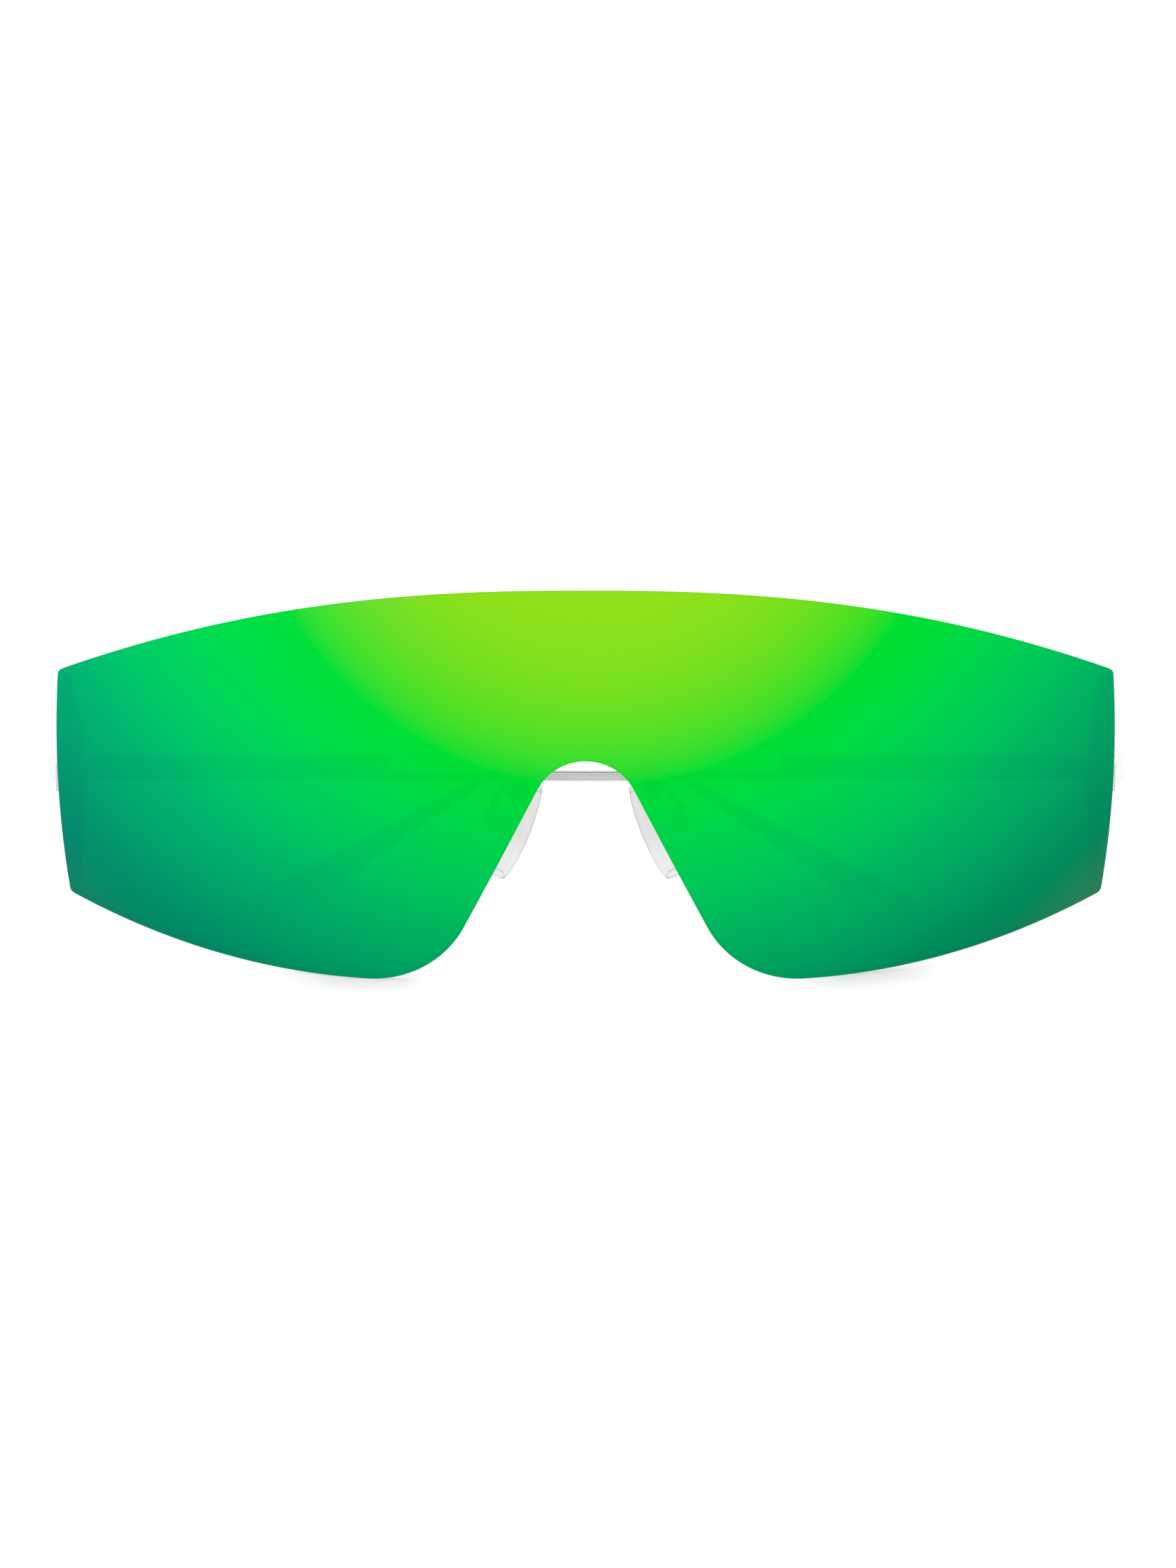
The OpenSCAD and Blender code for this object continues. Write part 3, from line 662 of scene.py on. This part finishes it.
def screw_profile(shank_r, length, head_r, head_h, chamfer=0.08):
    """From the shank's rounded tip to the head's slightly domed top."""
    return [(0, 0), (shank_r - chamfer, 0), (shank_r, chamfer), (shank_r, length),
            (head_r - chamfer / 2, length), (head_r, length + chamfer / 2),
            *[(head_r * out, length + head_h * up) for out, up in HEAD_SHARES],
            (0, length + head_h)]


def box_solid(low, high, put):
    x, y, z = zip(low, high)
    points = [put(a, b, c) for c in z for b in y for a in x]
    return points, [(0, 2, 3, 1), (4, 5, 7, 6), (0, 1, 5, 4), (2, 6, 7, 3), (0, 4, 6, 2),
                    (1, 3, 7, 5)]


def bright_metal():
    finish = Finish("turned_steel")
    turned = finish.noise(TURNED_GRAIN, FINE)
    return finish.done(finish.surface(
        turned, TURNED_DARK, TURNED_LIGHT, rough=0.12, spread=0.1,
        more={"Metallic": 1.0, "Normal": finish.bump(turned, TURNED_DEPTH)}))


def white_nylon():
    finish = Finish("washer_nylon")
    grain = finish.noise(NYLON_GRAIN, FINE)
    return finish.done(finish.surface(
        grain, NYLON_DARK, NYLON_LIGHT, rough=0.42, spread=0.15,
        more={"Normal": finish.bump(grain, NYLON_DEPTH)}))


turned_steel = bright_metal()
washer_nylon = white_nylon()


def on_hinge(side):
    """Puts a point of the left hinge, drawn round its pin, in its place on a side."""
    mirror = 1 if side == "left" else -1
    return lambda x, y, z: (mirror * (HINGE.x + x), HINGE.y + y, TEMPLE_Z + z)


for side in ("left", "right"):
    put = on_hinge(side)
    slot_floor = BAR_H + FIXED_GAP + HEAD_H - SLOT_W
    screw = make_piece(f"{side}_hinge_pin", *worked(
        "DIFFERENCE",
        lathe(screw_profile(SCREW_R, BAR_H + FIXED_GAP, HEAD_R, HEAD_H), put),
        box_solid((-2 * HEAD_R, -SLOT_W / 2, slot_floor),
                  (2 * HEAD_R, SLOT_W / 2, slot_floor + 2 * HEAD_H), put)), [turned_steel])
    ease_edges(screw, SCREW_EASE, 2)
    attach(screw, "front")
    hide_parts(f"{side}_hinge_screw")

    angles = range(0, 360, 5)
    washers = make_piece(f"{side}_nylon_washers", *put_together(*[
        ring_solid(round_ring(BARREL_R - WASHER_IN, angles), round_ring(WASHER_BORE, angles),
                   low, low + WASHER_T, put)
        for low in (KNUCKLE_H + FIXED_GAP, BAR_H - KNUCKLE_H - FIXED_GAP - WASHER_T)]),
        [washer_nylon])
    ease_edges(washers, WASHER_EASE, 2)
    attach(washers, "front")
    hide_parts(f"{side}_hinge_washers")


# ------------------------------------------------------------
# Temples. Each is a flat polished steel bar, stepped down through a small collar to a slim
# spring strip that ends in a steel paddle behind the ear. The bar turns on a knuckle whose leaf
# is welded to its back, and both lie folded, a little off parallel, so that they pass.

FOLD_TILT = math.radians(-0.6)
BAR_IN, BAR_OVER, BAR_LEN, BAR_ROUND = 1.55, 4.3, 44.4, 0.2
MIDDLE_KNUCKLE_H, LEAF_LEN, LEAF_T, LEAF_START = 1.1, 5.5, 0.6, 1.7
COLLAR_LEN, COLLAR_H, COLLAR_T, COLLAR_ROUND = 2.5, 1.65, 1.3, 0.22
CORE_H, CORE_T, CORE_LOW, CORE_GAP, CORE_ROUND = 1.05, 0.8, 21.85, 0.02, 0.1
BEND_AT, BEND_R, TIP_DROP, CORE_IN_TIP = 85.5, 1.2, math.radians(32), 19.0
TIP_START_W, TIP_W, TIP_T, TIP_LEN, TIP_LEAD, TIP_POWER = 1.6, 5.6, 1.5, 39.4081, 3.5, 1.2
TIP_CUT, TIP_SHARES = math.radians(64), [i / 40 for i in range(1, 40)]
SWING_GAP, BORE_GAP, LEAST_ROUND = 0.15, 0.03, 0.02
TEMPLE_MID_Y, CORE_MID = BAR_IN + BAR_T / 2, CORE_LOW + CORE_H / 2
QUARTER = [math.radians(a) for a in (0, 22.5, 45, 67.5, 90)]
LEAF_EASE, COLLAR_EASE, TIP_EASE = 0.1, 0.08, 0.3
# The second value here is the X past which the bar ends get painted light.
BAR_SHADE, PAINTED_LIGHT_FROM_X, SPRING_SHADE = (0.91, 0.91, 0.915), 72.5, (0.67, 0.68, 0.70)
TIP_SHADE, COLLAR_SHADE = (0.88, 0.88, 0.885), (0.86, 0.86, 0.865)


def on_temple(side):
    """Puts a point of the left temple, drawn from its pin, in its folded place on a side."""
    mirror = 1 if side == "left" else -1
    turn = Matrix.Rotation(FOLD_TILT, 3, "Z")
    pin = Vector((mirror * HINGE.x, HINGE.y, 0))
    return lambda x, y, z: tuple(pin + turn @ Vector((mirror * x, y, z)))


def rounded_box_ring(half_w, half_h, r, steps=5):
    """A ring round a flat bar's section, with its corners rounded."""
    ring = []
    for k, (sx, sy) in enumerate(((1, 1), (-1, 1), (-1, -1), (1, -1))):
        for i in range(steps + 1):
            a = math.radians(90 * k + 90 * i / steps)
            ring.append(Vector((sx * (half_w - r) + r * math.cos(a),
                                sy * (half_h - r) + r * math.sin(a))))
    return ring


def loft(rings):
    """A closed solid through rings of as many points each, with flat ends."""
    loops = loops_of(len(rings[0]), len(rings))
    return [p for ring in rings for p in ring], stacked(loops) + [loops[0][::-1], loops[-1]]


def cut_out(outline, low, high, put):
    """A flat piece cut to an outline, between two levels."""
    return loft([[put(a, b, level) for a, b in outline] for level in (low, high)])


def flat_bar(first, last, half_t, low, high, r, put, stations=40):
    """A flat bar along the temple with rounded edges and rounded ends."""
    middle, half_h = (low + high) / 2, (high - low) / 2
    ends = [(r * (1 - math.cos(a)), r * (1 - math.sin(a))) for a in QUARTER]
    runs = [(first + along, shrink) for along, shrink in ends]
    runs += [(first + r + (last - first - 2 * r) * i / stations, 0.0) for i in range(1, stations)]
    runs += [(last - along, shrink) for along, shrink in reversed(ends)]
    rings = []
    for x, shrink in runs:
        ring = rounded_box_ring(half_t - shrink, half_h - shrink, max(r - shrink, LEAST_ROUND))
        rings.append([put(x, TEMPLE_MID_Y + p.x, middle + p.y) for p in ring])
    return loft(rings)


def hinge_leaf_solid(put):
    low = HINGE.z - MIDDLE_KNUCKLE_H / 2
    high = low + MIDDLE_KNUCKLE_H
    knuckle = bored_tab(BARREL_R, BORE_R + BORE_GAP, BAR_IN, low, high, put)
    root = box_solid((0, BAR_IN - LEAF_T + FIXED_GAP, low + FIXED_GAP),
                     (LEAF_START + LEAF_T / 2, BAR_IN - FIXED_GAP, high - FIXED_GAP), put)
    plate = box_solid((LEAF_START, BAR_IN - LEAF_T, TEMPLE_Z + SWING_GAP),
                      (LEAF_START + LEAF_LEN, BAR_IN, TEMPLE_Z + BAR_H - SWING_GAP), put)
    return put_together(knuckle, root, plate)


def core_solid(put, level_steps=50, bend_steps=8, drop_steps=12):
    """The spring strip: level to the bend, then down inside the paddle."""
    level = BEND_AT - BEND_R - BAR_LEN
    reach = BEND_R / math.tan((math.pi - TIP_DROP) / 2)
    spots = [(BAR_LEN + level * i / level_steps, CORE_MID, 0.0) for i in range(level_steps + 1)]
    for i in range(bend_steps + 1):
        a = TIP_DROP * i / bend_steps
        spots.append((BEND_AT - reach + BEND_R * math.sin(a),
                      CORE_MID - BEND_R + BEND_R * math.cos(a), a))
    x, z, _ = spots[-1]
    for i in range(1, drop_steps + 1):
        along = (CORE_IN_TIP - reach) * i / drop_steps
        spots.append((x + along * math.cos(TIP_DROP), z - along * math.sin(TIP_DROP), TIP_DROP))
    ring = rounded_box_ring(CORE_T / 2, CORE_H / 2, CORE_ROUND)
    return loft([[put(x + p.y * math.sin(a), TEMPLE_MID_Y + p.x, z + p.y * math.cos(a))
                  for p in ring] for x, z, a in spots])


def tip_outline():
    """The paddle's outline: a slim sleeve before the bend, then a slowly widening blade."""
    over = Vector((math.sin(TIP_DROP), math.cos(TIP_DROP)))
    along = Vector((math.cos(TIP_DROP), -math.sin(TIP_DROP)))
    bend = Vector((BEND_AT, CORE_MID))
    slant = TIP_W / 2 / math.tan(TIP_CUT)
    half = TIP_START_W / 2
    miter = half * math.tan(TIP_DROP / 2)

    def edge(u, length, side):
        half_w = (TIP_START_W + (TIP_W - TIP_START_W) * u ** TIP_POWER) / 2
        return bend + along * u * length + over * half_w * side

    end = bend + along * TIP_LEN
    top_end = end + over * TIP_W / 2 + along * slant
    low_end = end - over * TIP_W / 2 - along * slant
    soft, cut = CORNER_SOFT, (top_end - low_end).normalized()
    return ([Vector((BEND_AT - TIP_LEAD, CORE_MID - half)),
             Vector((BEND_AT - miter, CORE_MID - half))]
            + [edge(u, TIP_LEN - slant, -1) for u in TIP_SHARES]
            + soft_corner(low_end - along * soft, low_end, low_end + cut * soft, 6)
            + soft_corner(top_end - cut * soft, top_end, top_end - along * soft, 6)
            + [edge(u, TIP_LEN, 1) for u in reversed(TIP_SHARES)]
            + [Vector((BEND_AT + miter, CORE_MID + half)),
               Vector((BEND_AT - TIP_LEAD, CORE_MID + half))])


def collar_solid(put):
    """A short sleeve with the spring strip's passage through it."""
    middle = TEMPLE_Z + COLLAR_H / 2
    outer = rounded_box_ring(COLLAR_T / 2, COLLAR_H / 2, COLLAR_ROUND)
    passage = [Vector((p.x, p.y + CORE_MID - middle)) for p in rounded_box_ring(
        CORE_T / 2 + CORE_GAP, CORE_H / 2 + CORE_GAP, CORE_ROUND)]
    return ring_solid(outer, passage, BAR_LEN, BAR_LEN + COLLAR_LEN,
                      lambda y, z, x: put(x, TEMPLE_MID_Y + y, middle + z))


# The flat bars carry painted light: white on the fronts of their ends past the lens.
temple_steel = satin_metal("polished_steel_lengthwise", "x", BAR_SHADE,
                           bright=(PAINTED_LIGHT_FROM_X, HINGE.y + TEMPLE_MID_Y))
spring_steel = satin_metal("rolled_spring_steel", "x", SPRING_SHADE, rough=0.3)
tip_steel = satin_metal("polished_steel_paddle", "x", TIP_SHADE, rough=0.2)
collar_steel = satin_metal("polished_steel_collar", "z", COLLAR_SHADE, rough=0.2)
for side in ("left", "right"):
    put = on_temple(side)
    bar = flat_bar(-BAR_OVER, BAR_LEN, BAR_T / 2, TEMPLE_Z, TEMPLE_Z + BAR_H, BAR_ROUND, put)
    paddle = cut_out(tip_outline(), -TIP_T / 2, TIP_T / 2,
                     lambda x, z, y: put(x, TEMPLE_MID_Y + y, z))
    for node, name, solid, finish, eased in (
            ("temple_hinge", "knuckle_and_leaf", hinge_leaf_solid(put), polished_steel, LEAF_EASE),
            ("temple_bar", "flat_bar", bar, temple_steel, 0),
            ("temple_collar", "step_collar", collar_solid(put), collar_steel, COLLAR_EASE),
            ("temple_core", "spring_strip", core_solid(put), spring_steel, 0),
            ("temple_tip", "paddle", paddle, tip_steel, TIP_EASE)):
        made = ease_edges(make_piece(f"{side}_{name}", *solid, [finish]), eased, 4)
        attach(made, f"{side}_temple")
        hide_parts(f"{side}_{node}")


# ------------------------------------------------------------
# Pad arms. A round steel plate is bonded to the lens's back beside the notch, and a gooseneck
# wire is brazed to it. The wire curves up, over and down to the small open box that holds the
# nose pad on its screw.

MOUNT_AT, MOUNT_R, MOUNT_T, MOUNT_EASE = Vector((-9.13014, 27.5666)), 1.6, 0.8, 0.15
MOUNT_RING_SHARES, MOUNT_BACK_Y = (0.0, 0.35, 0.7, 0.88), -16.0385
WIRE_R, BRAZE_SINK = 0.65, 0.25
LOOP_IN, LOOP_BACK, LOOP_UP, LOOP_END = 3.2, 2.8, 5.2, 7.0
PAD_AT = Vector((-10.714, -6.99992, 20.3))
PAD_TURN = Matrix.Rotation(math.radians(23.5), 3, "Y") @ Matrix.Rotation(math.radians(8), 3, "Z")
BOX_FLOOR, BOX_SET, BOX_UP, BOX_L, EAR_GAP, EAR_T = 2.45, 1.5, 0.4, 2.6, 0.65, 0.5
EAR_REACH, PAD_SCREW_R, PAD_HEAD_R, PAD_HEAD_H = 1.75, 0.4, 0.75, 0.35
BOX_W = 2 * (EAR_GAP + EAR_T)
BOX_EASE, PAD_SCREW_EASE, PAD_SCREW_CHAMFER = 0.1, 0.02, 0.05
WIRE_SHADE = (0.74, 0.74, 0.75)


def mount_solid():
    """A small round plate that follows the lens's back, with an eased rim."""
    low = [(MOUNT_R * share, 0.0) for share in MOUNT_RING_SHARES]
    low += [(MOUNT_R - MOUNT_EASE * (1 - math.sin(a)), MOUNT_EASE * (1 - math.cos(a)))
            for a in (math.pi / 6 * k for k in range(4))]

    def put(u, v, depth):
        x, z = MOUNT_AT.x + u, MOUNT_AT.y + v
        return (x, face_y(BACK_R - FIXED_GAP - depth, x, z), z)
    return lathe(low + [(r, MOUNT_T - h) for r, h in reversed(low)], put)


def on_pad(x, y, z):
    """Puts a point of the pad's own frame in place: X is the way its face looks."""
    return tuple(PAD_AT + PAD_TURN @ Vector((x, y, z)))


def on_box(x, y, z):
    """Puts a point of the pad's box, drawn round its screw, in place."""
    return on_pad(x - BOX_SET, y, z + BOX_UP)


def wire_solid(steps=72, sides=24):
    """The gooseneck: one smooth curve of round wire, its ends sunk into their seats."""
    upward, facing = PAD_TURN @ Vector((0, 0, 1)), PAD_TURN @ Vector((1, 0, 0))
    arm_end = PAD_AT - facing * (BOX_FLOOR + WIRE_R) + upward * (BOX_UP + BOX_L / 2)
    a = Vector((MOUNT_AT.x, MOUNT_BACK_Y - BRAZE_SINK, MOUNT_AT.y))
    b = a + Vector((LOOP_IN, LOOP_BACK, LOOP_UP))
    c = arm_end + upward * LOOP_END
    d = arm_end - upward * BRAZE_SINK
    rings, out = [], None
    for i in range(steps + 1):
        t = i / steps
        spot = a * (1 - t) ** 3 + b * 3 * t * (1 - t) ** 2 + c * 3 * t * t * (1 - t) + d * t ** 3
        way = ((b - a) * (1 - t) ** 2 + (c - b) * 2 * t * (1 - t) + (d - c) * t * t).normalized()
        out = way.cross(Vector((1, 0, 0))) if out is None else out - way * out.dot(way)
        out.normalize()
        over = way.cross(out)
        rings.append([tuple(spot + WIRE_R * (math.cos(k) * out + math.sin(k) * over))
                      for k in (math.tau * s / sides for s in range(sides))])
    return loft(rings)


def pad_box_solid():
    """A strip bent to a floor and two ears, and drilled across for the screw."""
    floor, bore_r = BOX_SET - BOX_FLOOR, PAD_SCREW_R + FIXED_GAP
    back, tip = floor - 2 * WIRE_R, floor + EAR_REACH
    half = [(back, BOX_W / 2), (tip, BOX_W / 2), (tip, EAR_GAP), (floor, EAR_GAP)]
    outline = half + [(x, -y) for x, y in reversed(half)]
    drill = lathe([(0, -BOX_W), (bore_r, -BOX_W), (bore_r, BOX_W), (0, BOX_W)],
                  lambda x, z, y: on_box(x, y, z))
    return worked("DIFFERENCE", cut_out(outline, -BOX_L / 2, BOX_L / 2, on_box), drill)


def pad_screw_solid():
    """The screw that the pad turns on, its head on the outside of the back ear."""
    profile = screw_profile(PAD_SCREW_R, BOX_W, PAD_HEAD_R, PAD_HEAD_H, PAD_SCREW_CHAMFER)
    return lathe(profile, lambda x, z, y: on_box(x, y - BOX_W / 2, z))


wire_steel = satin_metal("drawn_wire", "y", WIRE_SHADE, rough=0.2)
arm_pieces = [
    ("pad_mount", "bonded_plate", mount_solid(), polished_steel, 0, "satin_steel"),
    ("pad_arm", "gooseneck", wire_solid(), wire_steel, 0, "satin_steel"),
    ("pad_box", "open_box", pad_box_solid(), polished_steel, BOX_EASE, "satin_steel"),
    ("pad_screw", "pad_pin", pad_screw_solid(), turned_steel, PAD_SCREW_EASE, "screw_steel")]
for side in ("left", "right"):
    for node, name, solid, finish, eased, slot in arm_pieces:
        shape = solid if side == "left" else mirrored(solid)
        made = ease_edges(make_piece(f"{side}_{name}", *shape, [finish]), eased)
        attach(made, "front")
        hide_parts(f"{side}_{node}")


# ------------------------------------------------------------
# Nose pads. A crowned oval of clear silicone is moulded round a pale plate, which is nearly as
# large. The plate's tongue comes out of the pad's back and turns on the pad screw.

PAD_L, PAD_W, PAD_T, PAD_CROWN_R, PAD_ROUND = 14.5, 7.5, 2.6, 50.0, 0.32
PAD_FULL_SHARE, PAD_TURNS, PAD_RING_SHARES = 0.16, 96, (0.15, 0.3, 0.45, 0.6, 0.75, 0.88)
PLATE_MARGIN, PLATE_T, PLATE_DEPTH, PLATE_TURNS, PLATE_EASE = 0.75, 1.2, 0.35, 80, 0.1
TONGUE_R, TONGUE_T, TONGUE_BORE = 0.8, 1.2, 0.45

# The pads' dark rim, darker towards the edges the camera looks along, is painted shade.
CLEAR_BODY, RIM_SHOWN, PAINTED_RIM_SHADE, RIM_POWER = 0.02, 0.9, 0.8, 12.0
LOW_CLEAR, HIGH_CLEAR, HIGH_FROM, HIGH_TO = (0.905,) * 3, (0.868, 0.864, 0.856), -2.6, -1.2
PLATE_END, SEAM_W, SEAM_SHOWN = PAD_L / 2 - PLATE_MARGIN, 0.12, 0.5
# The edge line is painted dark shade along the face's front edge, on the nose side.
EDGE_LINE_W, EDGE_LINE_SHOWN, EDGE_LINE_FADE = 0.22, 0.75, 1.0
EDGE_WALL_FROM, EDGE_WALL_TO = 0.84, 0.92
# The third colour here is the dark grey that the seam and the painted shade of rim and edge line
# mix towards.
CLOUD_DARK, CLOUD_LIGHT, SEAM_AND_PAINTED_SHADE_GREY = (0.80, 0.80, 0.80), (0.86, 0.86, 0.85), (0.12, 0.12, 0.13)
PAD_CLOUD, PAD_ROUGH, PAD_ROUGH_MORE = 0.5, 0.22, 0.1
PLATE_DARK, PLATE_LIGHT, PLATE_CLOUD = (0.84, 0.84, 0.83), (0.90, 0.90, 0.89), 0.4
TONGUE_SHOWN_FROM, TONGUE_SHOWN, PLATE_INSIDE_SHOWN, PLATE_CLEAR = -0.4, 0.75, 0.02, 0.99


def pad_place(turn, share, inset=0.0):
    """A place in the pad's oval, by its turn and its share of the way out."""
    y = (PAD_W / 2 - inset) * math.cos(turn) * (1 - PAD_FULL_SHARE * math.sin(turn))
    return y * share, (PAD_L / 2 - inset) * math.sin(turn) * share


def crown_x(y, z):
    return PAD_T - PAD_CROWN_R + math.sqrt(PAD_CROWN_R ** 2 - y * y - z * z)


def pad_solid():
    """Rings from the middle of the flat back, round the soft rim, to the crowned face."""
    stages = [(share, PAD_ROUND * share, 0.0) for share in PAD_RING_SHARES]
    stages += [(1.0, PAD_ROUND * (1 - math.sin(a)), PAD_ROUND * (1 - math.cos(a)))
               for a in QUARTER]
    rings = []
    for crowned in (False, True):
        for share, inset, lift in (reversed(stages) if crowned else stages):
            around = [pad_place(math.tau * k / PAD_TURNS, share, inset) for k in range(PAD_TURNS)]
            rings.append([on_pad(crown_x(y, z) - lift if crowned else lift, y, z)
                          for y, z in around])
    return capped(on_pad(0, 0, 0), rings, on_pad(PAD_T, 0, 0))


def plate_solid():
    """The plate that stiffens the pad, and the tongue that turns on the pad screw."""
    outline = [pad_place(math.tau * k / PLATE_TURNS, 1.0, PLATE_MARGIN)
               for k in range(PLATE_TURNS)]
    plate = cut_out(outline, PLATE_DEPTH, PLATE_DEPTH + PLATE_T, lambda y, z, x: on_pad(x, y, z))
    tongue = bored_tab(TONGUE_R, TONGUE_BORE, BOX_SET + PLATE_DEPTH + PLATE_T / 2,
                       -TONGUE_T / 2, TONGUE_T / 2, lambda z, x, y: on_box(x, y, z))
    return put_together(plate, tongue)


def pad_spots(finish):
    """How far out, across and along its pad a spot lies, in millimetres."""
    x, y, z = finish.places()
    apart = finish.size_of(x) + PAD_AT.x
    ways = [PAD_TURN @ Vector(axis) for axis in ((1, 0, 0), (0, 1, 0), (0, 0, 1))]
    return [(y - PAD_AT.y) * way.y + (z - PAD_AT.z) * way.z - apart * way.x for way in ways]


def clear_silicone():
    """Clear, with painted shade at its rim, a painted dark line round the face's front edge and a
    seam at the plate's end.
    """
    finish = Finish("clear_silicone")
    out, across, along = pad_spots(finish)
    seam = finish.ease(finish.size_of(finish.size_of(along) - PLATE_END), 0.0, SEAM_W,
                       SEAM_SHOWN, 0.0)
    # Painted shade: a thin dark line along the crowned face's front edge, on the nose side, where
    # the clear silicone is seen edge-on.
    share_along = along * (2 / PAD_L)
    share_across = across * (2 / PAD_W) / (1 - share_along * PAD_FULL_SHARE)
    under_face = PAD_T - (across ** 2 + along ** 2) * (0.5 / PAD_CROWN_R) - out
    on_wall = finish.ease(share_along ** 2 + share_across ** 2, EDGE_WALL_FROM, EDGE_WALL_TO,
                          0.0, 1.0)
    painted_edge_shade = (on_wall * finish.ease(under_face, 0.0, EDGE_LINE_W, EDGE_LINE_SHOWN, 0.0)
            * finish.ease(across, -EDGE_LINE_FADE, 0.0, 1.0, 0.0))
    # Painted shade: the rim turns darker and less clear towards the edges that the camera looks
    # along.
    rim = finish.node("LayerWeight", values={"Blend": 0.5}, output="Facing") ** RIM_POWER
    cloud = finish.noise(PAD_CLOUD)
    pale = finish.tint("MIX", cloud, CLOUD_DARK, CLOUD_LIGHT)
    body = finish.node("BsdfPrincipled", values={
        "Base Color": finish.tint("MIX", rim * PAINTED_RIM_SHADE + seam + painted_edge_shade, pale, SEAM_AND_PAINTED_SHADE_GREY),
        "Roughness": cloud * PAD_ROUGH_MORE + PAD_ROUGH})
    clear = finish.mixed(finish.ease(along, HIGH_FROM, HIGH_TO, 0.0, 1.0),
                         finish.clear(LOW_CLEAR), finish.clear(HIGH_CLEAR))
    return finish.done(finish.mixed(rim * RIM_SHOWN + seam + painted_edge_shade + CLEAR_BODY, clear, body))


def clear_plate():
    """Nearly clear inside the pad, and milky where the tongue comes out of it."""
    finish = Finish("clear_plate")
    out = pad_spots(finish)[0]
    shown = finish.ease(out, TONGUE_SHOWN_FROM, 0.0, TONGUE_SHOWN, PLATE_INSIDE_SHOWN)
    body = finish.surface(finish.noise(PLATE_CLOUD), PLATE_DARK, PLATE_LIGHT, rough=0.4,
                          spread=0.1)
    return finish.done(finish.mixed(shown, finish.clear((PLATE_CLEAR,) * 3), body))


pad_pieces = [
    ("nose_pad", "silicone_pad", pad_solid(), clear_silicone(), 0, "silicone"),
    ("pad_insert", "plate_and_tongue", plate_solid(), clear_plate(), PLATE_EASE, "nylon")]
for side in ("left", "right"):
    for node, name, solid, finish, eased, slot in pad_pieces:
        shape = solid if side == "left" else mirrored(solid)
        made = ease_edges(make_piece(f"{side}_{name}", *shape, [finish]), eased)
        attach(made, f"{side}_pad")
        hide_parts(f"{side}_{node}")


# ------------------------------------------------------------
# Table, light and camera. The glasses stand on a white table in even white light, and the
# camera looks down on them from in front.

TABLE_REACH, PAPER_DARK, PAPER_LIGHT, PAPER_GRAIN = 9000.0, (0.2,) * 3, (0.21,) * 3, 0.02
TABLE_SHOWN, TABLE_MIRRORED, TABLE_BOUNCE = 0.9, 0.8, 0.45
CONTACT_REACH, CONTACT_DARK, CONTACT_FROM, CONTACT_TO = 12.0, 0.25, 0.5, 0.9
CONTACT_SPOTS, CONTACT_INNER, CONTACT_OUTER = (-31.0, 39.0), 2.0, 13.5
CAMERA_AT, CAMERA_DOWN, CAMERA_LENS, CAMERA_FILM = (0.332, -889.357, 213.91), 12.0, 150.21, 36.0
CAMERA_SEES = 100.0


def white_paper():
    """Pale paper that camera and mirrors see as white, with a soft shadow under each lobe."""
    finish = Finish("white_table")
    open_share = finish.node("AmbientOcclusion", {"samples": 4},
                             {"Distance": CONTACT_REACH * MM}, output="AO")
    x = finish.places()[0]
    by_lobe = [finish.ease(finish.size_of(x - spot), CONTACT_INNER, CONTACT_OUTER, 1.0, 0.0)
               for spot in CONTACT_SPOTS]
    contact = (finish.ease(open_share, CONTACT_FROM, CONTACT_TO, CONTACT_DARK, 0.0)
               * (by_lobe[0] + by_lobe[1]))
    seen = finish.node("LightPath", output="Is Camera Ray")
    in_mirror = finish.node("LightPath", output="Is Glossy Ray")
    glow = (seen * (TABLE_SHOWN - contact)
            + (1 - seen) * (in_mirror * (TABLE_MIRRORED - TABLE_BOUNCE) + TABLE_BOUNCE))
    return finish.done(finish.surface(
        finish.noise(PAPER_GRAIN), PAPER_DARK, PAPER_LIGHT, rough=1.0, more={
            "Specular IOR Level": 0.0, "Emission Color": glow, "Emission Strength": 1.0}))


corners = [(x * TABLE_REACH, y * TABLE_REACH, 0) for x, y in ((-1, -1), (1, -1), (1, 1), (-1, 1))]
table = make_piece("white_table", corners, [(0, 1, 2, 3)], [white_paper()])

world = bpy.data.worlds.new("even_white")
bpy.context.scene.world = world
world.use_nodes = True
background = world.node_tree.nodes["Background"]
background.inputs["Color"].default_value = (1, 1, 1, 1)
background.inputs["Strength"].default_value = 1.0

camera = bpy.data.objects.new("camera", bpy.data.cameras.new("camera"))
camera.data.sensor_fit = "VERTICAL"
camera.data.sensor_height = CAMERA_FILM
camera.data.lens = CAMERA_LENS
camera.data.clip_end = CAMERA_SEES
camera.location = [c * MM for c in CAMERA_AT]
camera.rotation_euler = (math.radians(90 - CAMERA_DOWN), 0, 0)
bpy.context.scene.collection.objects.link(camera)
bpy.context.scene.camera = camera
bpy.context.scene.view_settings.view_transform = "Standard"
